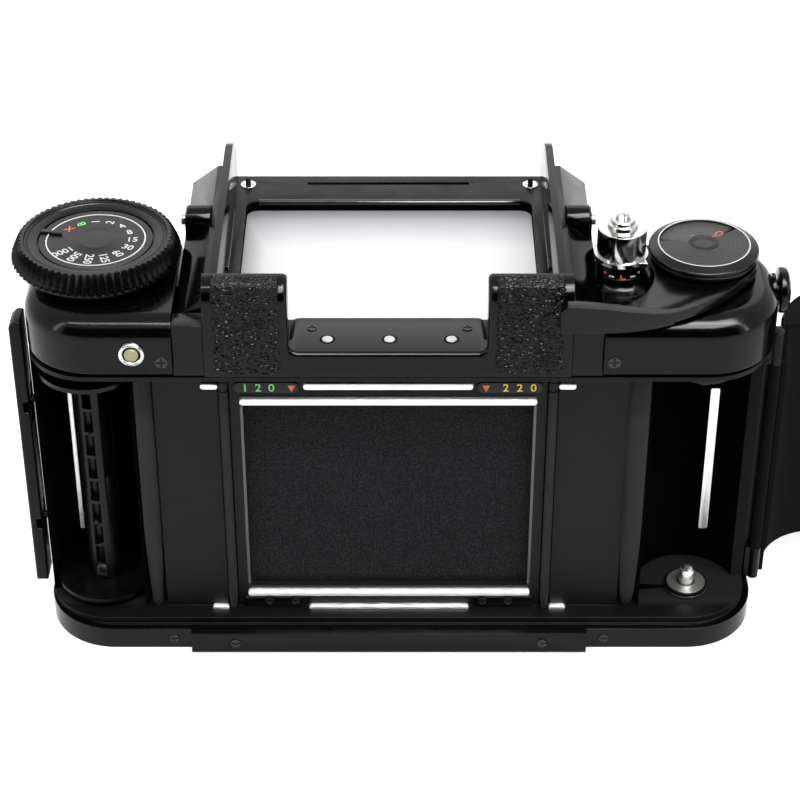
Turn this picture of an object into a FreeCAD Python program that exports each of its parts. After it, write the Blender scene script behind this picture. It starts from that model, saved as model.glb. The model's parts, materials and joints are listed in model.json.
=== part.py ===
import FreeCAD, Part
import math
import os
import Sketcher

# Medium format film camera, single lens reflex for 70 mm wide frames, back open.
# Origin: mouth of the tripod socket. +X right seen from behind, +Y to the lens, +Z up. Millimetres.

SIZES = {
    # Film format and optics
    "gate_width": 70.0,
    "gate_height": 56.5,
    "axis_drop": 1.55,
    "film_plane": -35.0,
    "flange_distance": 85.0,
    "throat_radius": 34.5,
    # Body outline, seen from above
    "body_left": -87.0,
    "body_right": 93.2,
    "body_rear": -41.0,
    "body_front": -1.5,
    "rear_corner": 17.5,
    "front_corner": 14.0,
    # Base cover and top covers
    "base_height": 6.0,
    "base_plate": 1.5,
    "cover_wall": 1.6,
    "neck_height": 2.6,
    "cover_height": 14.0,
    "cover_round": 2.6,
    "cover_narrow": 0.5,
    "cover_screw_gap": 2.7,
    "cover_screw_rise": 3.3,
    "base_screw_x": 54.5,
    "rail_screw_x": 38.8,
    "base_rail_half": 50.0,
    "base_rail_depth": 2.2,
    "base_rail_low": 0.2,
    "deck_thickness": 1.0,
    "fit": 0.2,
    # Body casting
    "casting_left": -86.6,
    "casting_right": 91.5,
    "casting_rear": -38.5,
    "casting_front": -2.3,
    "casting_rear_corner": 15.5,
    "casting_front_corner": 13.2,
    "leather": 0.8,
    "lip_low": 7.7,
    "lip_high": 80.2,
    "lip_thickness": 1.2,
    "groove_depth": 2.5,
    "gate_plate": 1.6,
    # Film path
    "rail_height": 1.4,
    "rail_width": 1.8,
    "inner_rail_length": 71.4,
    "inner_rail_offset": 29.3,
    "outer_rail_length": 40.6,
    "outer_rail_offset": 33.8,
    "nub_length": 3.6,
    "nub_place": 42.8,
    "feed_x": -72.8,
    "feed_y": -22.5,
    "take_x": 76.5,
    "take_y": -26.0,
    "chamber_radius": 13.0,
    "feed_opening": -62.0,
    "take_opening": 63.6,
    "thin_roller": 1.2,
    "thin_roller_x": 39.5,
    "thick_roller": 2.2,
    "thick_roller_left": -58.9,
    "thick_roller_right": 60.5,
    "roller_proud": 0.3,
    "roller_clearance": 0.25,
    "journal": 0.7,
    "journal_length": 0.8,
    "running": 0.06,
    # Roll film spool
    "spool_length": 65.8,
    "spool_flange": 12.5,
    "spool_flange_thickness": 1.2,
    "spool_core": 5.75,
    "spool_bore": 3.45,
    "spool_windows": 8.0,
    # Springs that press on the film rolls
    "spring_low": 19.0,
    "spring_high": 61.0,
    "spring_bow": 1.6,
    "spring_leaf": 0.4,
    "spring_rise": 4.0,
    "spring_width": 2.3,
    "feed_spring_reach": 9.7,
    "take_spring_reach": 11.3,
    "finder_spring_rear": -15.0,
    "finder_spring_front": 25.0,
    "finder_spring_foot": 4.0,
    "finder_spring_slope": 9.0,
    "finder_spring_lift": 3.5,
    "finder_spring_width": 2.2,
    "finder_leaf": 0.35,
    "finder_bow": 1.0,
    # Spool knobs in the base
    "knob_radius": 8.0,
    "knob_thickness": 2.0,
    "knob_shaft": 3.0,
    "knob_pin": 1.7,
    "knob_pin_height": 4.0,
    "collar_radius": 5.4,
    "collar_height": 1.8,
    # Shutter and mirror box
    "box_width": 75.0,
    "box_rear": -29.0,
    "box_floor": 6.0,
    "curtain_height": 60.0,
    "curtain_thickness": 0.3,
    "drum_x": 48.5,
    "drum_y": -26.0,
    "drum_radius": 4.5,
    "drum_clearance": 0.7,
    "mirror_angle": 45.0,
    "mirror_pivot_y": -25.0,
    "mirror_drop": 10.0,
    "mirror_length": 64.0,
    "mirror_width": 70.0,
    "mirror_glass": 1.5,
    "mirror_holder": 1.2,
    "screen_sink": 2.0,
    "screen_thickness": 3.0,
    "screen_width": 77.0,
    "screen_rear": -26.0,
    "screen_front": 35.0,
    # Mirror housing in front of the body
    "housing_half": 50.2,
    "housing_front": 46.8,
    "housing_bottom": 3.0,
    "tongue_half": 32.0,
    "tongue_front": 44.0,
    "housing_corner": 8.0,
    "housing_wall": 4.8,
    "mount_radius": 39.2,
    "bayonet_depth": 1.6,
    "bayonet_arc": 28.0,
    "lens_button_rise": 33.0,
    "lens_button_inset": 9.2,
    # Finder frame, side walls and rear blocks
    "frame_thickness": 3.0,
    "frame_half": 41.6,
    "frame_front": 46.4,
    "frame_side": 4.7,
    "frame_screw_inset": 4.6,
    "window_rear": -23.5,
    "window_front": 33.4,
    "window_round": 3.0,
    "fin_thickness": 1.9,
    "fin_height": 21.0,
    "fin_front": 43.5,
    "fin_round": 16.0,
    "block_inner": 24.0,
    "block_outer": 42.9,
    "block_front": -35.0,
    "block_height": 23.0,
    "block_round": 5.5,
    "skirt_drop": 0.8,
    "block_leather": 0.6,
    "shoulder_height": 15.5,
    "shoulder_slant": 5.0,
    "shoulder_front": 29.5,
    "shoulder_rear": -40.4,
    "shoulder_drop": 3.5,
    "ledge_height": 1.7,
    "ledge_front": -25.5,
    "contact_pitch": 14.6,
    "contact_offset": 0.35,
    "contact_radius": 1.5,
    "ledge_screw_x": 18.4,
    "ledge_screw_inset": 5.0,
    # Shutter speed dial
    "dial_x": -69.8,
    "dial_y": -14.0,
    "dial_low": 20.4,
    "dial_high": 18.4,
    "dial_lift": 1.9,
    "dial_height": 5.8,
    "dial_teeth": 66.0,
    "dial_tooth": 0.8,
    "dial_disc": 14.3,
    "dial_shaft": 3.0,
    "dial_stem": 7.0,
    "dial_recess": 2.0,
    "dial_sunk": 1.1,
    "pedestal_radius": 9.5,
    # Wind lever and frame counter
    "wind_x": 75.0,
    "wind_y": -17.0,
    "hub_radius": 13.0,
    "hub_lift": 1.0,
    "hub_thickness": 2.5,
    "sleeve_radius": 7.0,
    "post_radius": 4.0,
    "counter_radius": 13.0,
    "counter_dial": 11.0,
    "tab_end": -35.5,
    "tab_rear": -29.0,
    "tab_thickness": 2.8,
    "tab_rise": 4.2,
    "tab_drop": 0.4,
    "wind_gear": 11.0,
    "gear_thickness": 2.5,
    "wind_gear_lift": 7.0,
    "take_gear_lift": 3.0,
    "take_gear": 4.75,
    "idler_x": 66.5,
    "idler_y": -29.0,
    # Release
    "release_gap": 4.6,
    "release_y": -20.7,
    "boss_radius": 5.9,
    "boss_height": 6.0,
    "lock_height": 8.0,
    "button_radius": 3.4,
    "button_proud": 2.7,
    "cable_thread": 1.5,
    # Battery test button and battery
    "check_gap": 9.3,
    "check_rise": 5.7,
    "check_radius": 1.8,
    "bezel_radius": 3.1,
    "battery_x": 48.5,
    "battery_y": -11.5,
    "battery_radius": 6.6,
    "battery_length": 25.0,
    "battery_cover": 8.2,
    # Tripod socket, a quarter inch thread
    "tripod_thread": 3.175,
    "tripod_flange": 9.0,
    "tripod_bush": 7.0,
    "tripod_depth": 5.2,
    # Back door, hinge and latch
    "hinge_x": 94.6,
    "hinge_y": -20.0,
    "hinge_radius": 1.4,
    "hinge_pin": 0.7,
    "door_angle": 180.0,
    "door_under": 1.2,
    "door_over": 2.7,
    "door_gap": 0.2,
    "door_skin": 1.2,
    "door_leather": 0.7,
    "door_left": -26.5,
    "plate_half": 41.0,
    "plate_reach": 34.2,
    "plate_gap": 0.5,
    "plate_thickness": 1.5,
    "latch_inner": -87.9,
    "latch_thickness": 3.1,
    "latch_rear": -25.0,
    "latch_depth": 7.0,
    "latch_bottom": 9.0,
    "latch_over": 4.0,
    "latch_travel": 4.0,
    "latch_notch": 61.5,
    "latch_pitch": 36.0,
    # Strap lugs
    "lug_y": -14.4,
    "lug_rise": 7.2,
    "lug_radius": 4.5,
    "lug_reach": 4.0,
    # Screws
    "head_radius": 1.5,
    "small_head": 1.2,
    "large_head": 2.0,
    "head_thickness": 0.9,
    "shank_radius": 0.8,
    "shank_length": 2.5,
}

doc = FreeCAD.newDocument("FilmCamera")
sheet = doc.addObject("Spreadsheet::Sheet", "Sizes")
for row, (alias, number) in enumerate(SIZES.items(), 1):
    sheet.set(f"A{row}", alias)
    sheet.set(f"B{row}", str(number))
    sheet.setAlias(f"B{row}", alias)
doc.recompute()


class Size:
    """A number together with the sheet expression that gives it."""

    def __init__(self, number, text):
        self.number = number
        self.text = text

    def __float__(self):
        return float(self.number)

    def join(self, sign, other, number, swapped=False):
        first, second = (other, self) if swapped else (self, other)
        return Size(number, f"({first.text} {sign} {second.text})")

    def __add__(self, other):
        other = as_size(other)
        return self.join("+", other, self.number + other.number)

    def __sub__(self, other):
        other = as_size(other)
        return self.join("-", other, self.number - other.number)

    def __mul__(self, other):
        other = as_size(other)
        return self.join("*", other, self.number * other.number)

    def __truediv__(self, other):
        other = as_size(other)
        return self.join("/", other, self.number / other.number)

    def __radd__(self, other):
        return as_size(other) + self

    def __rsub__(self, other):
        return as_size(other) - self

    def __rmul__(self, other):
        return as_size(other) * self

    def __neg__(self):
        return Size(-self.number, f"(0 - {self.text})")


def as_size(item):
    if isinstance(item, Size):
        return item
    return Size(float(item), f"({float(item)!r})")


class Sheet:
    """Every size of the sheet by its name."""


s = Sheet()
for alias in SIZES:
    setattr(s, alias, Size(float(sheet.get(alias)), "Sizes." + alias))


# Building blocks

TURNS = {
    "X": FreeCAD.Rotation(FreeCAD.Vector(0, 1, 0), 90),
    "Y": FreeCAD.Rotation(FreeCAD.Vector(1, 0, 0), -90),
    "Z": FreeCAD.Rotation(),
}
PLANES = {"X": "YZ_Plane", "Y": "XZ_Plane", "Z": "XY_Plane"}
TINY = 1e-4


def bind(solid, prop, size):
    solid.setExpression(prop, as_size(size).text)


def put(solid, axis, centre, start):
    """Turns a solid's own Z to an axis and binds its place."""
    solid.Placement = FreeCAD.Placement(FreeCAD.Vector(), TURNS[axis])
    first, second = centre
    place = {"X": (start, first, second), "Y": (first, start, second), "Z": (first, second, start)}[axis]
    for letter, size in zip("xyz", place):
        bind(solid, "Placement.Base." + letter, size)


def block(name, x, y, z):
    solid = doc.addObject("Part::Box", name)
    for prop, letter, (low, high) in (("Length", "x", x), ("Width", "y", y), ("Height", "z", z)):
        bind(solid, prop, as_size(high) - low)
        bind(solid, "Placement.Base." + letter, low)
    return solid


def rod(name, axis, centre, radius, span):
    low, high = span
    solid = doc.addObject("Part::Cylinder", name)
    bind(solid, "Radius", radius)
    bind(solid, "Height", as_size(high) - low)
    put(solid, axis, centre, low)
    return solid


def closed_sketch(body, name, plane_role, points):
    """A closed polygon whose corners are bound to sizes."""
    sketch = body.newObject("Sketcher::SketchObject", name)
    plane = next(item for item in body.Origin.OriginFeatures if item.Role == plane_role)
    sketch.AttachmentSupport = [(plane, "")]
    sketch.MapMode = "FlatFace"
    corners = [(as_size(first), as_size(second)) for first, second in points]
    for number, corner in enumerate(corners):
        following = corners[(number + 1) % len(corners)]
        ends = [FreeCAD.Vector(float(first), float(second), 0) for first, second in (corner, following)]
        sketch.addGeometry(Part.LineSegment(*ends), False)
    for number in range(len(corners)):
        sketch.addConstraint(Sketcher.Constraint("Coincident", number, 2, (number + 1) % len(corners), 1))
    for number, corner in enumerate(corners):
        for kind, size in zip(("DistanceX", "DistanceY"), corner):
            index = sketch.addConstraint(Sketcher.Constraint(kind, -1, 1, number, 1, float(size)))
            sketch.setExpression(f"Constraints[{index}]", size.text)
    return sketch


def prism(name, axis, points, span):
    """A padded polygon: points are (y, z), (x, z) or (x, y) for the axes X, Y and Z."""
    low, high = span
    body = doc.addObject("PartDesign::Body", name)
    sketch = closed_sketch(body, name + "_sketch", PLANES[axis], points)
    start = -as_size(high) if axis == "Y" else as_size(low)
    bind(sketch, "AttachmentOffset.Base.z", start)
    pad = body.newObject("PartDesign::Pad", name + "_pad")
    pad.Profile = sketch
    bind(pad, "Length", as_size(high) - low)
    return body


def turned(name, centre, profile):
    """A turned piece on an upright axis: the profile holds (radius, height) corners."""
    body = doc.addObject("PartDesign::Body", name)
    sketch = closed_sketch(body, name + "_sketch", "XZ_Plane", profile)
    spin = body.newObject("PartDesign::Revolution", name + "_revolution")
    spin.Profile = sketch
    spin.ReferenceAxis = (sketch, ["V_Axis"])
    spin.Angle = 360
    bind(body, "Placement.Base.x", centre[0])
    bind(body, "Placement.Base.y", centre[1])
    return body


def fused(name, *solids):
    whole = doc.addObject("Part::MultiFuse", name)
    whole.Shapes = list(solids)
    whole.Refine = True
    return whole


def cut(name, base, *tools):
    result = doc.addObject("Part::Cut", name)
    result.Base = base
    result.Tool = tools[0] if len(tools) == 1 else fused(name + "_tools", *tools)
    result.Refine = True
    return result


def common(name, first, second):
    result = doc.addObject("Part::Common", name)
    result.Base = first
    result.Tool = second
    return result


def grouped(name, *solids):
    """Separate solids of one node."""
    group = doc.addObject("Part::Compound", name)
    group.Links = list(solids)
    return group


def rounded(name, base, radius, chosen):
    """Rounds the chosen edges of a solid."""
    doc.recompute()
    result = doc.addObject("Part::Fillet", name)
    result.Base = base
    amount = float(radius)
    edges = enumerate(base.Shape.Edges, 1)
    result.Edges = [(number, amount, amount) for number, edge in edges if chosen(edge)]
    return result


def slanted(name, base, size, chosen):
    """Chamfers the chosen edges of a solid."""
    doc.recompute()
    result = doc.addObject("Part::Chamfer", name)
    result.Base = base
    amount = float(size)
    edges = enumerate(base.Shape.Edges, 1)
    result.Edges = [(number, amount, amount) for number, edge in edges if chosen(edge)]
    return result


def near(first, second):
    return abs(first - float(second)) < TINY


def level(edge, height):
    """True for an edge that lies at one height."""
    return near(edge.BoundBox.ZMin, height) and near(edge.BoundBox.ZMax, height)


def rounded_block(name, x, y, z, corners):
    """A block with rounded upright corners, such as ("low", "high") for low x and high y."""
    result = block(name + "_block", x, y, z)
    sides = {"low": 0, "high": 1}
    for number, ((side_x, side_y), radius) in enumerate(corners.items(), 1):
        corner_x = float(as_size(x[sides[side_x]]))
        corner_y = float(as_size(y[sides[side_y]]))

        def at_corner(edge):
            box = edge.BoundBox
            upright = box.ZLength > TINY and box.XLength < TINY and box.YLength < TINY
            return upright and near(box.XMin, corner_x) and near(box.YMin, corner_y)

        result = rounded(f"{name}_corner_{number}", result, radius, at_corner)
    return result


def body_plan(name, inset, z, x=None, narrow=0):
    """The plan outline of the camera, drawn in by an inset and narrowed at its ends, over a range of heights."""
    left = s.body_left + inset + narrow
    right = s.body_right - inset - narrow
    rear = s.rear_corner - inset
    front = s.front_corner - inset
    corners = {("low", "low"): rear, ("low", "high"): front, ("high", "low"): rear, ("high", "high"): front}
    if x:
        low, high = x
        if low is not None:
            left = low
            corners = {key: size for key, size in corners.items() if key[0] == "high"}
        else:
            right = high
            corners = {key: size for key, size in corners.items() if key[0] == "low"}
    return rounded_block(name, (left, right), (s.body_rear + inset, s.body_front - inset), z, corners)


def casting_plan(name, grown, z):
    """The plan outline of the casting, grown outwards, over a range of heights."""
    rear = s.casting_rear_corner + grown
    front = s.casting_front_corner + grown
    corners = {("low", "low"): rear, ("low", "high"): front, ("high", "low"): rear, ("high", "high"): front}
    x = (s.casting_left - grown, s.casting_right + grown)
    y = (s.casting_rear - grown, s.casting_front + grown)
    return rounded_block(name, x, y, z, corners)


def screw(name, axis, outward, centre, face, proud=0.2, cross=True, head=None):
    """A screw sunk into a face: its head stands a little proud and has one slot or a cross."""
    head = head or s.head_radius
    top = as_size(face) + outward * proud
    bottom = top - outward * s.head_thickness
    end = bottom - outward * s.shank_length
    low, high = (bottom, top) if outward > 0 else (top, bottom)
    head_disc = rod(name + "_head", axis, centre, head, (low, high))
    shank_span = (end, bottom) if outward > 0 else (bottom, end)
    shank = rod(name + "_shank", axis, centre, s.shank_radius, shank_span)
    whole = fused(name + "_whole", head_disc, shank)
    slot_bottom = top - outward * 0.5
    depth = (slot_bottom, top + outward * 0.1) if outward > 0 else (top + outward * 0.1, slot_bottom)
    first, second = centre
    reach = head * 0.8
    half = 0.25
    ways = [((first - reach, first + reach), (second - half, second + half))]
    if cross:
        ways.append(((first - half, first + half), (second - reach, second + reach)))
    slots = []
    for number, (across, along) in enumerate(ways):
        sides = {"X": (depth, across, along), "Y": (across, depth, along), "Z": (across, along, depth)}
        slots.append(block(f"{name}_slot_{number}", *sides[axis]))
    return cut(name, whole, *slots)


def screw_seat(name, axis, outward, centre, face, head=None, proud=0.2):
    """The hole that a screw of the same place sits in."""
    head = head or s.head_radius
    top = as_size(face) + outward * (s.head_thickness + 1)
    bottom = as_size(face) + outward * proud - outward * s.head_thickness
    end = bottom - outward * (s.shank_length + 0.1)
    low, high = (bottom, top) if outward > 0 else (top, bottom)
    sink = rod(name + "_sink", axis, centre, head + 0.05, (low, high))
    span = (end, bottom) if outward > 0 else (bottom, end)
    bore = rod(name + "_bore", axis, centre, s.shank_radius + 0.05, span)
    return fused(name, sink, bore)


parts = {}


def sub_part(label, solid):
    """Registers a finished sub-part under its node name."""
    solid.Label = label
    parts[label] = solid
    return solid


# Heights and planes that several pieces share

axis_height = (s.lip_low + s.lip_high) / 2 - s.axis_drop
gate_face = s.film_plane + s.rail_height
plate_front = gate_face + s.gate_plate
flange = s.film_plane + s.flange_distance
seam_height = s.lip_high + s.lip_thickness + s.neck_height
deck_top = seam_height + s.deck_thickness
cover_top = seam_height + s.cover_height
cover_joint = s.housing_half + s.fit
shutter_release_x = cover_joint + s.release_gap
check_x = -cover_joint - s.check_gap
deck_inset = s.cover_wall + s.fit
spool_bottom = axis_height - s.spool_length / 2
spool_top = axis_height + s.spool_length / 2
frame_top = deck_top + s.frame_thickness
window_half = s.frame_half - s.frame_side
screen_height = seam_height - s.screen_sink
mirror_pivot_z = screen_height - s.mirror_drop
fin_top = deck_top + s.fin_height
block_top = deck_top + s.block_height
block_bottom = seam_height - s.skirt_drop
shoulder_top = deck_top + s.shoulder_height
shoulder_edge = shoulder_top - s.shoulder_slant
shoulder_step = shoulder_top - s.shoulder_drop
check_z = seam_height + s.check_rise
lug_z = seam_height + s.lug_rise
latch_top = seam_height + s.latch_over
door_bottom = s.lip_low - s.door_under
door_top = s.lip_high + s.door_over
dial_bottom = cover_top + s.dial_lift
hub_bottom = cover_top + s.hub_lift
hub_top = hub_bottom + s.hub_thickness
tab_top = hub_top + s.tab_rise
wind_gear_bottom = deck_top + s.wind_gear_lift
take_gear_bottom = deck_top + s.take_gear_lift
box_half = s.box_width / 2
FAR = 200


# Screw places: (name, axis, outward, centre, face)
cover_screw_x = s.housing_half + s.cover_screw_gap
cover_screw_z = seam_height + s.cover_screw_rise
rear_screws = [
    ("screw_top_left", "Y", -1, (-cover_screw_x, cover_screw_z), s.body_rear),
    ("screw_top_right", "Y", -1, (cover_screw_x, cover_screw_z), s.body_rear),
]
base_screws = [
    ("screw_base_left", "Y", -1, (-s.base_screw_x, s.base_height / 2), s.body_rear),
    ("screw_base_right", "Y", -1, (s.base_screw_x, s.base_height / 2), s.body_rear),
]
small_fit = {"head": s.small_head}
large_fit = {"head": s.large_head}
base_rail_face = s.body_rear - s.base_rail_depth
base_rail_span = (s.base_rail_low, s.base_height + s.base_rail_low)
rail_screws = [
    (f"screw_rail_{side}", "Y", -1, (x, s.base_height / 2 + s.base_rail_low), base_rail_face)
    for side, x in (("left", -s.rail_screw_x), ("right", s.rail_screw_x))
]

# Small raised screws that hold the lower film plates
plate_inner = s.outer_rail_length / 2 + 1
plate_lower_z = axis_height - s.inner_rail_offset - 1.5
plate_head = as_size(1.1)
plate_proud = 1.3
plate_places = [
    (
        f"screw_plate_{side}_{number}",
        "Y",
        -1,
        ((plate_inner + distance) * sign, plate_lower_z - 1.6),
        gate_face,
    )
    for side, sign in (("left", -1), ("right", 1))
    for number, distance in enumerate((2.5, 9.0))
]


# Body casting with its film chambers, gate, shutter space and mirror box

def body_casting():
    lip_top = s.lip_high + s.lip_thickness
    shell = fused(
        "casting_shell",
        casting_plan("casting_main", 0, (s.base_height, lip_top)),
        body_plan("casting_foot", deck_inset, (s.base_plate, s.base_height)),
        casting_plan("casting_neck", -s.groove_depth, (lip_top, seam_height)),
        body_plan("casting_deck", deck_inset, (seam_height, deck_top), narrow=s.cover_narrow),
    )
    mouth = (s.lip_low, s.lip_high)
    rear_wall_left = -27.0
    rear_wall_right = -21.4
    clearance = s.roller_clearance
    hollows = [
        block("hollow_rear", (-FAR, FAR), (-FAR, gate_face), mouth),
        block("hollow_left_end", (-FAR, s.feed_x), (-FAR, rear_wall_left), mouth),
        block("hollow_right_end", (s.take_x, FAR), (-FAR, rear_wall_right), mouth),
        rod("hollow_feed", "Z", (s.feed_x, s.feed_y), s.chamber_radius, mouth),
        rod("hollow_take", "Z", (s.take_x, s.take_y), s.chamber_radius, mouth),
        block("hollow_feed_mouth", (s.feed_x - s.chamber_radius, s.feed_opening), (-FAR, s.feed_y), mouth),
        block("hollow_take_mouth", (s.take_opening, s.take_x + s.chamber_radius), (-FAR, s.take_y), mouth),
        block(
            "hollow_gate",
            (-s.gate_width / 2, s.gate_width / 2),
            (gate_face - 1, plate_front + 1),
            (axis_height - s.gate_height / 2, axis_height + s.gate_height / 2),
        ),
        block(
            "hollow_shutter",
            (-s.drum_x, s.drum_x),
            (plate_front, s.box_rear + 0.5),
            (axis_height - s.curtain_height / 2 - 1, axis_height + s.curtain_height / 2 + 1),
        ),
        block("hollow_box", (-box_half, box_half), (s.box_rear, FAR), (s.box_floor, FAR)),
        block(
            "hollow_screen",
            (-s.screen_width / 2 - s.fit, s.screen_width / 2 + s.fit),
            (s.screen_rear - s.fit, FAR),
            (screen_height, FAR),
        ),
        rod("hollow_bush", "Z", (0, 0), s.tripod_bush + 0.05, (-1, s.box_floor + 1)),
        rod(
            "hollow_battery",
            "Z",
            (s.battery_x, s.battery_y),
            s.battery_radius + s.fit,
            (-1, s.base_plate + 0.5 + s.battery_length + 1),
        ),
        rod("hollow_take_shaft", "Z", (s.take_x, s.take_y), 3.0 + s.running, (s.lip_high - 1, deck_top + 1)),
        rod("hollow_idler", "Z", (s.idler_x, s.idler_y), 1.5 + s.running, (deck_top - 3, deck_top + 1)),
        rod(
            "hollow_pivot",
            "X",
            (s.mirror_pivot_y, mirror_pivot_z),
            1.2 + s.running,
            (-box_half - 1.5, box_half + 1.5),
        ),
    ]
    for side, x, y in (("feed", s.feed_x, s.feed_y), ("take", s.take_x, s.take_y)):
        hollows.append(
            rod(f"hollow_{side}_knob", "Z", (x, y), s.knob_radius + s.fit, (-1, s.knob_thickness + 0.8))
        )
        hollows.append(
            rod(f"hollow_{side}_knob_shaft", "Z", (x, y), s.knob_shaft + s.running, (0, s.lip_low + 1))
        )
    for side, x in (("left", -s.drum_x), ("right", s.drum_x)):
        radius = s.drum_radius + s.drum_clearance
        low = axis_height - s.curtain_height / 2 - 2
        high = axis_height + s.curtain_height / 2 + 2
        hollows.append(rod(f"hollow_drum_{side}", "Z", (x, s.drum_y), radius, (low, high)))
        hollows.append(
            rod(f"hollow_drum_journal_{side}", "Z", (x, s.drum_y), s.journal + s.running, (low - 2, high + 2))
        )
    for name, x, radius in rollers:
        y = roller_place(radius)
        hollows.append(rod(f"hollow_{name}", "Z", (x, y), radius + clearance, mouth))
        ends = (s.lip_low - s.journal_length, s.lip_high + s.journal_length)
        hollows.append(rod(f"hollow_{name}_journals", "Z", (x, y), s.journal + s.running, ends))
    for name, *place in base_screws:
        hollows.append(screw_seat(name + "_foot", *place, **small_fit))
    for name, *place in plate_places:
        hollows.append(screw_seat(name + "_foot", *place, head=plate_head, proud=plate_proud))
    return cut("casting_cut", shell, *hollows)


rollers = [
    ("roller_thin_left", -s.thin_roller_x, s.thin_roller),
    ("roller_thin_right", s.thin_roller_x, s.thin_roller),
    ("roller_thick_left", s.thick_roller_left, s.thick_roller),
    ("roller_thick_right", s.thick_roller_right, s.thick_roller),
]


def roller_place(radius):
    """A roller's axis: its back stands a little proud of the film plane."""
    return s.film_plane - s.roller_proud + radius


sub_part("body_casting", body_casting())


# Base cover, base rail and the screws of the rear edge

def bottom_cover():
    tray = fused(
        "base_outer",
        body_plan("base_tray", 0, (0, s.base_height)),
        block(
            "base_tongue",
            (-s.tongue_half, s.tongue_half),
            (s.body_front - 1, s.tongue_front),
            (0, s.housing_bottom),
        ),
    )
    inside = body_plan("base_inside", s.cover_wall, (s.base_plate, s.base_height + 1))
    holes = [
        rod("base_hole_flange", "Z", (0, 0), s.tripod_flange + 0.1, (-1, s.base_plate)),
        rod("base_hole_bush", "Z", (0, 0), s.tripod_bush + 0.05, (-1, s.base_height + 1)),
        rod(
            "base_hole_battery",
            "Z",
            (s.battery_x, s.battery_y),
            s.battery_cover + s.fit,
            (-1, s.base_plate + 1),
        ),
    ]
    for side, x, y in (("feed", s.feed_x, s.feed_y), ("take", s.take_x, s.take_y)):
        holes.append(rod(f"base_hole_{side}", "Z", (x, y), s.knob_radius + s.fit, (-1, s.base_plate + 1)))
    seats = [screw_seat(name + "_seat", *place, **small_fit) for name, *place in base_screws]
    seats += [screw_seat(name + "_wall", *place, **small_fit) for name, *place in rail_screws]
    return cut("base_cut", tray, inside, *holes, *seats)


sub_part("bottom_cover", bottom_cover())

base_rail_x = (-s.base_rail_half, s.base_rail_half)
base_rail_block = block("base_rail_bar", base_rail_x, (base_rail_face, s.body_rear), base_rail_span)
base_rail_seats = [screw_seat(name + "_seat", *place, **small_fit) for name, *place in rail_screws]
sub_part("base_rail", cut("base_rail_cut", base_rail_block, *base_rail_seats))


# Top covers

def top_cover(side, x, holes):
    span = (seam_height, cover_top)
    shell = body_plan(f"cover_{side}", 0, span, x, s.cover_narrow)
    joint = float(x[1] if x[0] is None else x[0])

    def outer_rim(edge):
        box = edge.BoundBox
        return level(edge, cover_top) and not (near(box.XMin, joint) and near(box.XMax, joint))

    shell = rounded(f"cover_{side}_rounded", shell, s.cover_round, outer_rim)
    inner_x = (None, x[1] - s.cover_wall) if x[0] is None else (x[0] + s.cover_wall, None)
    under = (seam_height - 1, cover_top - s.cover_wall)
    inside = body_plan(f"cover_{side}_inside", s.cover_wall, under, inner_x, s.cover_narrow)
    deck_x = (None, x[1] + 1) if x[0] is None else (x[0] - 1, None)
    deck_z = (seam_height - 1, deck_top + s.fit)
    deck_room = body_plan(f"cover_{side}_deck_room", s.cover_wall, deck_z, deck_x, s.cover_narrow)
    seats = [screw_seat(n + "_seat", *place) for n, *place in rear_screws if n == f"screw_top_{side}"]
    return cut(f"cover_{side}_cut", shell, inside, deck_room, *holes, *seats)


def lug_hole(side, face, outward):
    """The hole in a cover's side wall that a strap lug is riveted in."""
    ends = sorted([face - outward * 5, face + outward * 5], key=float)
    return rod(f"cover_hole_lug_{side}", "X", (s.lug_y, lug_z), s.lug_radius + 0.05, ends)


above = (cover_top - 5, cover_top + 5)
cover_left = s.body_left + s.cover_narrow
cover_right = s.body_right - s.cover_narrow
left_holes = [
    rod("cover_hole_dial", "Z", (s.dial_x, s.dial_y), s.dial_shaft + s.running, above),
    rod(
        "cover_hole_check",
        "Y",
        (check_x, check_z),
        s.check_radius + 0.1,
        (s.body_rear - 1, s.body_rear + 5),
    ),
    lug_hole("left", cover_left, -1),
]
left_shell = top_cover("left", (None, -cover_joint), left_holes)
pedestal = cut(
    "dial_pedestal_ring",
    rod("dial_pedestal", "Z", (s.dial_x, s.dial_y), s.pedestal_radius, (cover_top, dial_bottom - 0.2)),
    rod("dial_pedestal_bore", "Z", (s.dial_x, s.dial_y), s.dial_shaft + s.running, above),
)
sub_part("top_cover_left", fused("cover_left_whole", left_shell, pedestal))

right_holes = [
    rod("cover_hole_wind", "Z", (s.wind_x, s.wind_y), s.sleeve_radius + 0.1, above),
    rod("cover_hole_release", "Z", (shutter_release_x, s.release_y), 2.2 + 0.1, above),
    lug_hole("right", cover_right, 1),
]
right_shell = top_cover("right", (cover_joint, None), right_holes)
boss_top = cover_top + s.boss_height
boss = cut(
    "release_boss_cut",
    rod("release_boss", "Z", (shutter_release_x, s.release_y), s.boss_radius, (cover_top, boss_top)),
    rod("release_boss_bore", "Z", (shutter_release_x, s.release_y), 2.2 + 0.1, (cover_top - 1, boss_top + 1)),
)
sub_part("top_cover_right", fused("cover_right_whole", right_shell, boss))

cover_fasteners = [screw(*place) for place in rear_screws]
cover_fasteners += [screw(*place, **small_fit) for place in base_screws + rail_screws]


# Leather on the front of the body

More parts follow.
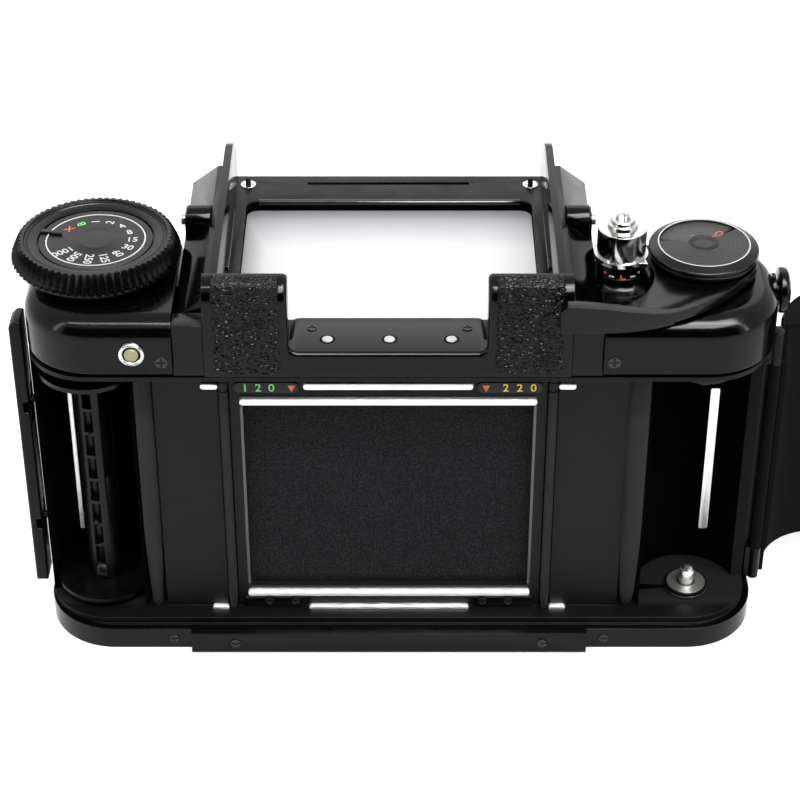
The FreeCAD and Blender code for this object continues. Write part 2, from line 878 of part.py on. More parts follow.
def front_leather():
    skin = cut(
        "leather_ring",
        casting_plan("leather_outer", s.leather, (s.base_height + 0.2, seam_height - 0.2)),
        casting_plan("leather_inner", 0, (s.base_height - 1, seam_height + 1)),
    )
    keep_left = block("leather_keep_left", (-FAR, -s.housing_half - 0.2), (-15.0, FAR), (0, FAR))
    keep_right = block("leather_keep_right", (s.housing_half + 0.2, FAR), (-12.2, FAR), (0, FAR))
    keep = grouped("leather_keep", keep_left, keep_right)
    ports = [
        rod(f"leather_port_{name}", "Y", (sync_x, z), sync_radius + 0.1, (s.casting_front - 1, FAR))
        for name, z in sync_heights
    ]
    return cut("leather_cut", common("leather_sides", skin, keep), *ports)


sync_x = -62.0
sync_radius = 3.6
sync_heights = (("upper", 70.0), ("lower", 58.0))
leather_skins = front_leather()

sync_pieces = []
for name, z in sync_heights:
    barrel = rod(f"sync_{name}_barrel", "Y", (sync_x, z), sync_radius, (s.casting_front, s.body_front + 1.4))
    bore = rod(f"sync_{name}_bore", "Y", (sync_x, z), 2.4, (s.casting_front + 0.6, s.body_front + 2))
    core = rod(f"sync_{name}_core", "Y", (sync_x, z), 0.7, (s.casting_front + 0.6, s.body_front + 1.0))
    sync_pieces.append(fused(f"sync_{name}", cut(f"sync_{name}_cup", barrel, bore), core))
sub_part("sync_sockets", grouped("sync_group", *sync_pieces))


# Strap lugs

def strap_lug(side, start, outward):
    steps = ((-1.7, 1.0, s.lug_radius), (1.0, 2.4, s.lug_radius * 0.6), (2.4, s.lug_reach, s.lug_radius))
    discs = []
    for number, (near_end, far_end, radius) in enumerate(steps):
        ends = sorted([start + outward * near_end, start + outward * far_end], key=float)
        discs.append(rod(f"lug_{side}_{number}", "X", (s.lug_y, lug_z), radius, ends))
    return fused(f"lug_{side}", *discs)


lug_left = strap_lug("left", cover_left, -1)
lug_right = strap_lug("right", cover_right, 1)
sub_part("strap_lugs", grouped("strap_lug_group", lug_left, lug_right))


# Film rails, guide nubs and the film size plates

def pair_of_bars(name, length, offset):
    bars = []
    for side, z in (("low", axis_height - offset), ("high", axis_height + offset)):
        x = (-length / 2, length / 2)
        height = (z - s.rail_width / 2, z + s.rail_width / 2)
        bars.append(block(f"{name}_{side}", x, (s.film_plane, gate_face), height))
    return bars


inner_bars = pair_of_bars("inner_rail", s.inner_rail_length, s.inner_rail_offset)
outer_bars = pair_of_bars("outer_rail", s.outer_rail_length, s.outer_rail_offset)

nubs = []
for side, x in (("left", -s.nub_place), ("right", s.nub_place)):
    for end, z in (("low", axis_height - s.outer_rail_offset), ("high", axis_height + s.outer_rail_offset)):
        width = (x - s.nub_length / 2, x + s.nub_length / 2)
        height = (z - s.rail_width / 2 + 0.3, z + s.rail_width / 2 - 0.3)
        nubs.append(block(f"nub_{side}_{end}", width, (s.film_plane, gate_face), height))
sub_part("film_rails", grouped("rail_group", *inner_bars, *outer_bars, *nubs))

plate_outer = s.inner_rail_length / 2 + 1.3
plate_thickness = 0.5
upper_plates = []
lower_plates = []
plate_screws = [screw(*place, proud=plate_proud, head=plate_head) for place in plate_places]
for side, sign in (("left", -1), ("right", 1)):
    ends = sorted([plate_inner * sign, plate_outer * sign], key=float)
    upper_z = axis_height + s.inner_rail_offset + 1.5
    y = (gate_face - plate_thickness, gate_face)
    upper_plates.append(block(f"size_plate_{side}", ends, y, (upper_z, upper_z + 2.6)))
    lower = block(f"lower_plate_{side}", ends, y, (plate_lower_z - 3.2, plate_lower_z))
    seats = [
        screw_seat(name + "_seat", *place, head=plate_head, proud=plate_proud)
        for name, *place in plate_places
        if side in name
    ]
    lower_plates.append(cut(f"lower_plate_{side}_cut", lower, *seats))
sub_part("film_plates", grouped("film_plate_group", *upper_plates, *lower_plates))
sub_part("cover_screws", grouped("cover_screw_group", *cover_fasteners, *plate_screws))


# Rollers

for name, x, radius in rollers:
    y = roller_place(radius)
    drum = rod(f"{name}_drum", "Z", (x, y), radius, (s.lip_low + 0.3, s.lip_high - 0.3))
    reach = s.journal_length - 0.1
    pin = rod(f"{name}_pin", "Z", (x, y), s.journal, (s.lip_low - reach, s.lip_high + reach))
    sub_part(name, fused(f"{name}_whole", drum, pin))


# Chamber springs

def chamber_spring(side, x, wall):
    """A bowed leaf that stands on the chamber wall and presses on the film roll."""
    low = s.spring_low
    high = s.spring_high
    bow = s.spring_bow
    leaf = s.spring_leaf
    rise = s.spring_rise
    points = [
        (wall, low),
        (wall, low + 1.5),
        (wall - bow + leaf, low + rise),
        (wall - bow + leaf, high - rise),
        (wall, high - 1.5),
        (wall, high),
        (wall - leaf, high),
        (wall - bow, high - rise + 0.2),
        (wall - bow, low + rise - 0.2),
        (wall - leaf, low),
    ]
    return prism(f"spring_{side}", "X", points, (x - s.spring_width / 2, x + s.spring_width / 2))


feed_spring_x = s.feed_x - 7.5
take_spring_x = s.take_x + 4.7
feed_wall = s.feed_y + s.feed_spring_reach
take_wall = s.take_y + s.take_spring_reach
springs = [
    chamber_spring("feed", feed_spring_x, feed_wall),
    chamber_spring("take", take_spring_x, take_wall),
]


# Feed spool, its stud, the sprung knobs and their collars

window_margin = 3.5
window_rib = 0.9


def film_spool():
    centre = (s.feed_x, s.feed_y)
    flange_low = spool_bottom + s.spool_flange_thickness
    flange_high = spool_top - s.spool_flange_thickness
    reel = fused(
        "spool_reel",
        rod("spool_core", "Z", centre, s.spool_core, (spool_bottom, spool_top)),
        rod("spool_flange_low", "Z", centre, s.spool_flange, (spool_bottom, flange_low)),
        rod("spool_flange_high", "Z", centre, s.spool_flange, (flange_high, spool_top)),
    )
    cuts = [
        rod("spool_bore_low", "Z", centre, s.knob_pin + 0.15, (spool_bottom - 1, spool_bottom + 6)),
        rod("spool_bore_high", "Z", centre, s.spool_bore, (spool_top - 6, spool_top + 1)),
        block(
            "spool_slit",
            (s.feed_x - FAR, s.feed_x + FAR),
            (s.feed_y - 0.8, s.feed_y + 0.8),
            (axis_height - 22, axis_height + 22),
        ),
    ]
    windows = int(float(s.spool_windows))
    pitch = (flange_high - flange_low - 2 * window_margin) / windows
    for number in range(windows):
        low = flange_low + window_margin + pitch * number + window_rib / 2
        high = low + pitch - window_rib
        x = (s.feed_x - 2.8, s.feed_x + 0.4)
        y = (s.feed_y - FAR, s.feed_y - 2.2)
        cuts.append(block(f"spool_window_{number}", x, y, (low, high)))
    notch_z = (axis_height + 0.5, axis_height + 4.2)
    cuts.append(block("spool_notch", (s.feed_x + 2.6, s.feed_x + FAR), (s.feed_y - FAR, s.feed_y - 2.2), notch_z))
    return cut("spool_cut", reel, *cuts)


sub_part("film_spool", film_spool())

stud_centre = (s.feed_x, s.feed_y)
stud_tip = rod("stud_tip", "Z", stud_centre, s.spool_bore - 0.15, (spool_top - 4, s.lip_high))
stud_flange = rod("stud_flange", "Z", stud_centre, 7.0, (spool_top + 0.3, s.lip_high))
stud = fused("stud_whole", stud_tip, stud_flange)

collars = []
for side, x, y in (("feed", s.feed_x, s.feed_y), ("take", s.take_x, s.take_y)):
    ring = rod(f"collar_{side}_ring", "Z", (x, y), s.collar_radius, (s.lip_low, s.lip_low + s.collar_height))
    hole = rod(f"collar_{side}_hole", "Z", (x, y), s.knob_pin + 0.1, (s.lip_low - 1, s.lip_low + 9))
    collars.append(cut(f"collar_{side}", ring, hole))
    knob_bottom = 0.5
    shaft_top = s.lip_low - 0.2
    pin_top = s.lip_low + s.collar_height + s.knob_pin_height
    knob = turned(
        f"knob_{side}_turned",
        (x, y),
        [
            (0, knob_bottom),
            (s.knob_radius, knob_bottom),
            (s.knob_radius, knob_bottom + s.knob_thickness),
            (s.knob_shaft, knob_bottom + s.knob_thickness),
            (s.knob_shaft, shaft_top),
            (s.knob_pin, shaft_top),
            (s.knob_pin, pin_top),
            (0, pin_top),
        ],
    )
    grip = block(
        f"knob_{side}_grip",
        (x - s.knob_radius, x + s.knob_radius),
        (y - 1, y + 1),
        (knob_bottom - 1, knob_bottom + 0.8),
    )
    sub_part(f"spool_knob_{side}", cut(f"knob_{side}_whole", knob, grip))
sub_part("spool_bearings", grouped("bearing_group", stud, *collars))


# Take-up key with its gear, idler, and the curtain drums

def take_up_key():
    x = s.take_x
    y = s.take_y
    gear_low = take_gear_bottom
    gear_high = gear_low + s.gear_thickness
    shaft = turned(
        "take_shaft",
        (x, y),
        [
            (0, spool_top + 0.3),
            (7.0, spool_top + 0.3),
            (7.0, s.lip_high - 0.2),
            (3.0, s.lip_high - 0.2),
            (3.0, gear_low),
            (s.take_gear, gear_low),
            (s.take_gear, gear_high),
            (0, gear_high),
        ],
    )
    key_low = spool_top - 3.5
    key = block("take_key_blade", (x - 3.0, x + 3.0), (y - 0.6, y + 0.6), (key_low, spool_top + 1))
    core = rod("take_key_core", "Z", (x, y), 1.8, (key_low, spool_top + 1))
    return fused("take_whole", shaft, key, core)


sub_part("take_up_key", take_up_key())

axis_gap = math.hypot(float(s.wind_x - s.idler_x), float(s.wind_y - s.idler_y))
lower_gap = math.hypot(float(s.take_x - s.idler_x), float(s.take_y - s.idler_y))
mesh = 0.1
pinion_radius = axis_gap - float(s.wind_gear) - mesh
idler_radius = lower_gap - float(s.take_gear) - mesh
idler_profile = [
    (0, deck_top - 2.9),
    (1.5, deck_top - 2.9),
    (1.5, take_gear_bottom),
    (idler_radius, take_gear_bottom),
    (idler_radius, take_gear_bottom + s.gear_thickness),
    (pinion_radius, take_gear_bottom + s.gear_thickness),
    (pinion_radius, wind_gear_bottom + s.gear_thickness),
    (0, wind_gear_bottom + s.gear_thickness),
]
sub_part("idler_gear", turned("idler_turned", (s.idler_x, s.idler_y), idler_profile))

for side, x in (("left", -s.drum_x), ("right", s.drum_x)):
    centre = (x, s.drum_y)
    low = axis_height - s.curtain_height / 2 - 1.7
    high = axis_height + s.curtain_height / 2 + 1.7
    drum = rod(f"drum_{side}_roll", "Z", centre, s.drum_radius, (low, high))
    pin = rod(f"drum_{side}_pin", "Z", centre, s.journal, (low - 2, high + 2))
    sub_part(f"curtain_drum_{side}", fused(f"drum_{side}_whole", drum, pin))

curtain_rear = s.drum_y - s.drum_radius - 0.3 - s.curtain_thickness
curtain = block(
    "curtain_cloth",
    (-s.drum_x + 0.5, s.drum_x - 0.5),
    (curtain_rear, curtain_rear + s.curtain_thickness),
    (axis_height - s.curtain_height / 2 - 0.9, axis_height + s.curtain_height / 2 + 0.9),
)
sub_part("shutter_curtain", curtain)

# Tripod socket, battery and the battery cover

socket_profile = [
    (s.tripod_thread, 0),
    (s.tripod_flange, 0),
    (s.tripod_flange, s.base_plate),
    (s.tripod_bush, s.base_plate),
    (s.tripod_bush, s.box_floor - 0.2),
    (0, s.box_floor - 0.2),
    (0, s.tripod_depth),
    (s.tripod_thread, s.tripod_depth),
]
sub_part("tripod_socket", turned("tripod_turned", (0, 0), socket_profile))

battery_bottom = s.base_plate + 0.5
battery_top = battery_bottom + s.battery_length
battery_profile = [
    (0, battery_bottom),
    (s.battery_radius, battery_bottom),
    (s.battery_radius, battery_top - 0.8),
    (s.battery_radius - 0.8, battery_top - 0.8),
    (s.battery_radius - 0.8, battery_top),
    (0, battery_top),
]
sub_part("battery", turned("battery_turned", (s.battery_x, s.battery_y), battery_profile))

cover_disc = rod("battery_disc", "Z", (s.battery_x, s.battery_y), s.battery_cover, (0.2, s.base_plate))
coin_slot = block(
    "battery_coin_slot",
    (s.battery_x - 6.5, s.battery_x + 6.5),
    (s.battery_y - 0.9, s.battery_y + 0.9),
    (-1, 0.8),
)
sub_part("battery_cover", cut("battery_cover_cut", cover_disc, coin_slot))


# Shutter speed dial: a knurled, slightly conical ring with a number disc let into it

def star(radius, height):
    """A closed wire with the dial's teeth at one height."""
    count = int(float(s.dial_teeth)) * 2
    corners = []
    for number in range(count + 1):
        angle = 2 * math.pi * number / count
        reach = float(radius) - (float(s.dial_tooth) if number % 2 else 0)
        x = float(s.dial_x) + reach * math.cos(angle)
        y = float(s.dial_y) + reach * math.sin(angle)
        corners.append(FreeCAD.Vector(x, y, float(height)))
    return Part.makePolygon(corners)


# A loft between two toothed outlines has no primitive of its own.
dial_top = dial_bottom + s.dial_height
dial_teeth = doc.addObject("Part::Feature", "dial_toothed")
dial_teeth.Shape = Part.makeLoft([star(s.dial_low, dial_bottom), star(s.dial_high, dial_top)], True, True)
dial_centre = (s.dial_x, s.dial_y)
disc_floor = dial_top - s.dial_recess
dial_stem = rod("dial_stem", "Z", dial_centre, s.dial_shaft, (cover_top - s.dial_stem, dial_bottom + 1))
dial_recess = rod("dial_recess", "Z", dial_centre, s.dial_disc + 0.3, (disc_floor, dial_top + 1))
sub_part("shutter_dial", cut("dial_cut", fused("dial_solid", dial_teeth, dial_stem), dial_recess))
sub_part("dial_disc", rod("dial_disc_plate", "Z", dial_centre, s.dial_disc, (disc_floor, dial_top - s.dial_sunk)))


# Battery test button on the rear of the left cover

check_centre = (check_x, check_z)
bezel_proud = 1.0
bezel = cut(
    "bezel_ring",
    rod("bezel_disc", "Y", check_centre, s.bezel_radius, (s.body_rear - bezel_proud, s.body_rear)),
    rod("bezel_bore", "Y", check_centre, s.check_radius + 0.1, (s.body_rear - 2, s.body_rear + 1)),
)
sub_part("check_bezel", bezel)
check_face = s.body_rear - bezel_proud - 0.3
sub_part("check_button", rod("check_pin", "Y", check_centre, s.check_radius, (check_face, check_face + 4.3)))


# Wind lever: hub, sleeve with its gear, swept arm and raised thumb tab

def curved_prism(name, axis, pieces, span):
    """A padded outline of straight pieces (two points) and arcs (three points)."""
    low, high = span
    body = doc.addObject("PartDesign::Body", name)
    sketch = body.newObject("Sketcher::SketchObject", name + "_sketch")
    plane = next(item for item in body.Origin.OriginFeatures if item.Role == PLANES[axis])
    sketch.AttachmentSupport = [(plane, "")]
    sketch.MapMode = "FlatFace"
    for piece in pieces:
        points = [FreeCAD.Vector(float(first), float(second), 0) for first, second in piece]
        if len(points) == 2:
            sketch.addGeometry(Part.LineSegment(*points), False)
        else:
            sketch.addGeometry(Part.Arc(*points), False)
    start = -as_size(high) if axis == "Y" else as_size(low)
    bind(sketch, "AttachmentOffset.Base.z", start)
    pad = body.newObject("PartDesign::Pad", name + "_pad")
    pad.Profile = sketch
    bind(pad, "Length", as_size(high) - low)
    return body


wind_centre = (s.wind_x, s.wind_y)
tab_rear = s.wind_y + s.tab_rear
tab_front = tab_rear + s.tab_thickness
tab_x = s.wind_x + s.tab_end


def from_hub(across, along):
    """A point of the lever's outline, in hub radii from the hub's centre."""
    return (s.wind_x + s.hub_radius * across, s.wind_y + s.hub_radius * along)


def wind_lever():
    sleeve_bottom = wind_gear_bottom - 0.5
    gear_top = wind_gear_bottom + s.gear_thickness
    sleeve = rod("wind_sleeve", "Z", wind_centre, s.sleeve_radius, (sleeve_bottom, hub_bottom + 1))
    gear = rod("wind_gear_disc", "Z", wind_centre, s.wind_gear, (wind_gear_bottom, gear_top))
    hub = rod("wind_hub", "Z", wind_centre, s.hub_radius, (hub_bottom, hub_top))
    middle = from_hub(0, 0.154)
    root_right = from_hub(0.992, -0.115)
    root_left = from_hub(-0.985, -0.154)
    elbow = (from_hub(-1.923, 0)[0], tab_rear)
    inner_elbow = (elbow[0], tab_front)
    tab_corner = (tab_x, tab_rear)
    tab_inner = (tab_x, tab_front)
    bend = from_hub(-2.269, -1.846)
    outline = [
        (middle, root_right),
        (root_right, from_hub(-0.269, -1.677), elbow),
        (elbow, tab_corner),
        (tab_corner, tab_inner),
        (tab_inner, bend),
        (bend, from_hub(-1.392, -1.508), root_left),
        (root_left, middle),
    ]
    arm = curved_prism("wind_arm", "Z", outline, (hub_bottom, hub_top))
    tab_low = hub_bottom - s.tab_drop
    tab_start = from_hub(-0.692, 0)[0]
    tab_points = [
        (tab_x, tab_low),
        (tab_start, tab_low),
        (tab_start, hub_top),
        (from_hub(-1.077, 0)[0], hub_top + s.tab_rise * 0.26),
        (from_hub(-1.462, 0)[0], hub_top + s.tab_rise * 0.57),
        (elbow[0], hub_top + s.tab_rise * 0.88),
        (tab_x + 3.5, tab_top),
        (tab_x + 1.5, tab_top),
        (tab_x, tab_top - 1.5),
    ]
    tab_wall = prism("wind_tab_wall", "Y", tab_points, (tab_rear - 1, tab_front + 9))
    band_rear = from_hub(-0.692, -1.927)
    band_front = from_hub(-0.692, -1.754)
    outer_band = curved_prism(
        "wind_tab_band",
        "Z",
        [
            (band_rear, from_hub(-1.292, -2.146), elbow),
            (elbow, tab_corner),
            (tab_corner, tab_inner),
            (tab_inner, inner_elbow),
            (inner_elbow, from_hub(-1.292, -1.931), band_front),
            (band_front, band_rear),
        ],
        (tab_low, tab_top + 1),
    )
    tab = common("wind_tab", tab_wall, outer_band)
    bore = rod("wind_bore", "Z", wind_centre, s.post_radius + s.running, (sleeve_bottom - 1, hub_top + 1))
    return cut("wind_whole", fused("wind_solid", sleeve, gear, hub, arm, tab), bore)


sub_part("wind_lever", wind_lever())


# Frame counter on a fixed post over the wind lever

counter_bottom = hub_top + 0.4
counter_face = counter_bottom + 3.3
counter_rim = counter_face + 0.4
cavity_low = counter_bottom + 1.5
cavity_high = counter_face - 0.6
counter_pivot = as_size(1.0)


def sector(name, inner, outer, span):
    """The piece of a ring that lies in the counter's window."""
    low, high = span
    ring = doc.addObject("Part::Cylinder", name + "_outer")
    bind(ring, "Radius", outer)
    bind(ring, "Height", as_size(high) - low)
    ring.Angle = 120
    ring.Placement = FreeCAD.Placement(FreeCAD.Vector(), FreeCAD.Rotation(FreeCAD.Vector(0, 0, 1), 45))
    for letter, size in zip("xyz", (s.wind_x, s.wind_y, low)):
        bind(ring, "Placement.Base." + letter, size)
    core = rod(name + "_inner", "Z", wind_centre, inner, (low - 1, high + 1))
    return cut(name, ring, core)


def counter_housing():
    solid = turned(
        "counter_solid",
        wind_centre,
        [
            (0, deck_top),
            (s.post_radius, deck_top),
            (s.post_radius, counter_bottom),
            (s.counter_radius - 0.8, counter_bottom),
            (s.counter_radius - 0.8, counter_bottom + 1.1),
            (s.counter_radius, counter_bottom + 1.1),
            (s.counter_radius, counter_rim),
            (s.counter_radius - 1.4, counter_rim),
            (s.counter_radius - 1.4, counter_face),
            (2.9, counter_face),
            (2.9, counter_rim),
            (0, counter_rim),
        ],
    )
    cavity = cut(
        "counter_cavity",
        rod("counter_cavity_disc", "Z", wind_centre, s.counter_dial + 0.3, (cavity_low, cavity_high)),
        rod("counter_pivot", "Z", wind_centre, counter_pivot, (cavity_low - 1, cavity_high + 1)),
    )
    opening = sector("counter_opening", 3.6, 10.6, (cavity_high - 0.1, counter_face + 0.1))
    return cut("counter_cut", solid, cavity, opening)


sub_part("counter_housing", counter_housing())
sub_part("counter_window", sector("counter_glass", 3.6, 10.6, (cavity_high + 0.1, counter_face - 0.1)))
numbers_span = (cavity_low + 0.2, cavity_high - 0.3)
numbers = cut(
    "counter_numbers",
    rod("counter_numbers_disc", "Z", wind_centre, s.counter_dial, numbers_span),
    rod("counter_numbers_bore", "Z", wind_centre, counter_pivot + s.running, (cavity_low, cavity_high)),
)
sub_part("counter_dial", numbers)


# Shutter release: lock collar and button with a cable thread

release_centre = (shutter_release_x, s.release_y)
collar_bottom = boss_top + 0.1
collar_top = collar_bottom + s.lock_height
button_bore = s.button_radius + 0.1
collar_profile = [
    (button_bore, collar_bottom),
    (s.boss_radius + 0.5, collar_bottom),
    (s.boss_radius + 0.5, collar_bottom + 1.2),
    (s.boss_radius - 0.1, collar_bottom + 1.2),
    (s.boss_radius - 0.1, collar_top),
    (button_bore, collar_top),
]
pointer_corners = [(3.8, -5.4), (5.8, -5.5), (5.4, -3.5), (3.2, -1.6), (1.6, -3.1)]
pointer = prism(
    "lock_pointer",
    "Z",
    [(shutter_release_x + x, s.release_y + y) for x, y in pointer_corners],
    (collar_bottom, collar_bottom + 1.2),
)
collar_solid = fused("lock_solid", turned("lock_turned", release_centre, collar_profile), pointer)
collar_clear = rod("lock_clear", "Z", release_centre, button_bore, (collar_bottom - 1, collar_top + 1))
sub_part("lock_collar", cut("lock_cut", collar_solid, collar_clear))

button_top = collar_top + s.button_proud
button_profile = [
    (0, cover_top - 5),
    (2.2, cover_top - 5),
    (2.2, boss_top + 3.5),
    (s.button_radius, boss_top + 3.5),
    (s.button_radius, button_top),
    (s.cable_thread, button_top),
    (s.cable_thread, button_top - 3),
    (0, button_top - 3),
]
sub_part("release_button", turned("button_turned", release_centre, button_profile))

# Mirror housing, lens mount ring and their screws

notch_reach = s.throat_radius + s.bayonet_depth
mount_screw_ring = (s.throat_radius + s.mount_radius) / 2
mount_head = (s.mount_radius - s.throat_radius) / 2 - 0.5
mount_places = []
for number, degrees in enumerate((10, 50, 130, 170, 250, 290)):
    x = mount_screw_ring * math.cos(math.radians(degrees))
    z = axis_height + mount_screw_ring * math.sin(math.radians(degrees))
    mount_places.append((f"screw_mount_{number}", "Y", 1, (x, z), flange))
mount_fit = {"proud": -0.1, "head": mount_head}
frame_screw_x = s.frame_half - s.frame_screw_inset
frame_screw_y = s.frame_front - 4.6
frame_places = [
    (f"screw_frame_{side}", "Z", 1, (x, frame_screw_y), frame_top)
    for side, x in (("left", -frame_screw_x), ("right", frame_screw_x))
]
release_x = -s.housing_half + s.lens_button_inset
release_z = axis_height + s.lens_button_rise
release_pin = as_size(3.0)
raise_lever_y = 28.0
raise_lever_low = 55.0
raise_travel = 6.0
housing_inner = s.housing_front - s.housing_wall


def mirror_housing():
    corners = {("low", "high"): s.housing_corner, ("high", "high"): s.housing_corner}
    x = (-s.housing_half, s.housing_half)
    y = (s.casting_front, s.housing_front)
    outer = rounded_block("housing_outer", x, y, (s.housing_bottom, deck_top), corners)
    seat_half = s.screen_width / 2 + s.fit
    hollows = [
        block("housing_step", (-FAR, FAR), (-FAR, s.body_front + 0.1), (0, s.base_height + 0.2)),
        block("housing_cavity", (-box_half, box_half), (-FAR, housing_inner), (s.box_floor, screen_height)),
        block("housing_seat", (-seat_half, seat_half), (-FAR, s.screen_front + s.fit), (screen_height, FAR)),
        rod("housing_throat", "Y", (0, axis_height), s.throat_radius, (0, FAR)),
        rod("housing_bush", "Z", (0, 0), s.tripod_bush + 0.05, (-1, s.box_floor + 1)),
        rod(
            "housing_release",
            "Y",
            (release_x, release_z),
            release_pin + s.running,
            (housing_inner - 3, FAR),
        ),
        block(
            "housing_slot",
            (s.housing_half - 2.2, FAR),
            (raise_lever_y - 1.5, raise_lever_y + 1.5),
            (raise_lever_low + 0.6, raise_lever_low + 4.4 + raise_travel),
        ),
    ]
    hollows += [screw_seat(name + "_deep", *place, **mount_fit) for name, *place in mount_places]
    hollows += [screw_seat(name + "_deep", *place, **large_fit) for name, *place in frame_places]
    return cut("housing_cut", outer, *hollows)


sub_part("mirror_housing", mirror_housing())


def notch(number, degrees):
    """The piece of a disc that opens one bayonet notch of the lens mount."""
    wedge = doc.addObject("Part::Cylinder", f"mount_notch_{number}")
    bind(wedge, "Radius", notch_reach)
    bind(wedge, "Height", s.flange_distance)
    bind(wedge, "Angle", s.bayonet_arc)
    about = FreeCAD.Rotation(FreeCAD.Vector(0, 0, 1), degrees - float(s.bayonet_arc) / 2)
    wedge.Placement = FreeCAD.Placement(FreeCAD.Vector(), TURNS["Y"] * about)
    bind(wedge, "Placement.Base.z", axis_height)
    return wedge


ring_disc = rod("mount_disc", "Y", (0, axis_height), s.mount_radius, (s.housing_front, flange))
ring_bore = rod("mount_bore", "Y", (0, axis_height), s.throat_radius, (0, FAR))
notches = [notch(number, degrees) for number, degrees in enumerate((-90, 30, 150))]
ring_seats = [screw_seat(name + "_seat", *place, **mount_fit) for name, *place in mount_places]
sub_part("lens_mount_ring", cut("mount_cut", ring_disc, ring_bore, *notches, *ring_seats))

front_screws = [screw(*place, **mount_fit) for place in mount_places]
front_screws += [screw(*place, cross=False, **large_fit) for place in frame_places]
sub_part("mount_screws", grouped("mount_screw_group", *front_screws))

release_face = flange - 1.0
lens_button = rod("lens_button_pin", "Y", (release_x, release_z), release_pin, (housing_inner - 1, release_face))
sub_part("lens_release_button", lens_button)

raise_shank = block(
    "raise_shank",
    (s.housing_half - 2.1, s.housing_half + 0.2),
    (raise_lever_y - 1.4, raise_lever_y + 1.4),
    (raise_lever_low + 1.0, raise_lever_low + 4.0),
)
raise_knob = block(
    "raise_knob",
    (s.housing_half + 0.1, s.housing_half + 2.3),
    (raise_lever_y - 3, raise_lever_y + 3),
    (raise_lever_low, raise_lever_low + 5),
)
sub_part("mirror_up_lever", fused("raise_whole", raise_shank, raise_knob))


# Mirror on its pivot, built flat at the origin and then set at its angle

mirror_half = s.mirror_width / 2
mirror_start = 1.5
glass_inset = 1.0
holder = fused(
    "mirror_holder_whole",
    rod("mirror_axle", "X", (0, 0), 1.2, (-box_half - 1, box_half + 1)),
    block(
        "mirror_plate",
        (-mirror_half, mirror_half),
        (0, mirror_start + s.mirror_length),
        (-s.mirror_holder, 0),
    ),
)
glass_block = block(
    "mirror_glass_plate",
    (-mirror_half + glass_inset, mirror_half - glass_inset),
    (mirror_start + glass_inset, mirror_start + s.mirror_length - glass_inset),
    (0, s.mirror_glass),
)
tilt = FreeCAD.Rotation(FreeCAD.Vector(1, 0, 0), -float(s.mirror_angle))
for label, piece in (("mirror_holder", holder), ("mirror_glass", grouped("mirror_glass_place", glass_block))):
    piece.Placement = FreeCAD.Placement(FreeCAD.Vector(), tilt)
    bind(piece, "Placement.Base.y", s.mirror_pivot_y)
    bind(piece, "Placement.Base.z", mirror_pivot_z)
    sub_part(label, piece)


# Focusing screen and the finder frame over it

screen_half = s.screen_width / 2
screen_y = (s.screen_rear, s.screen_front)
screen_z = (screen_height, screen_height + s.screen_thickness)
sub_part("focusing_screen", block("screen_plate", (-screen_half, screen_half), screen_y, screen_z))

frame_rear = s.block_front + 1.5
ledge_top = frame_top + s.ledge_height
contact_x = s.contact_offset
contact_y = s.block_front + 0.2
ledge_screw_y = s.block_front + s.ledge_screw_inset
ledge_places = [
    (f"screw_ledge_{side}", "Z", 1, (x, ledge_screw_y), ledge_top)
    for side, x in (("left", contact_x - s.ledge_screw_x), ("right", contact_x + s.ledge_screw_x))
]


def finder_frame():
    plate = block(
        "frame_plate",
        (-s.frame_half, s.frame_half),
        (frame_rear, s.frame_front),
        (deck_top, frame_top),
    )
    corners = {(side, end): s.window_round for side in ("low", "high") for end in ("low", "high")}
    window = rounded_block(
        "frame_window",
        (-window_half, window_half),
        (s.window_rear, s.window_front),
        (deck_top - 1, frame_top + 1),
        corners,
    )
    slot_y = s.frame_front - 3.9
    slot = block("frame_slot", (-21.4, 20.9), (slot_y - 0.65, slot_y + 0.65), (frame_top - 1, frame_top + 1))
    seats = [screw_seat(name + "_seat", *place, **large_fit) for name, *place in frame_places]
    seats += [screw_seat(name + "_deep", *place, **small_fit) for name, *place in ledge_places]
    return cut("frame_cut", plate, window, slot, *seats)


sub_part("finder_frame", finder_frame())


# Side walls of the finder well, with the sprung pins that hold a finder

pin_radius = 1.5
pin_y = 3.5
pin_z = shoulder_top - 0.6
pin_travel = 1.6
pin_face = s.housing_half + 0.7


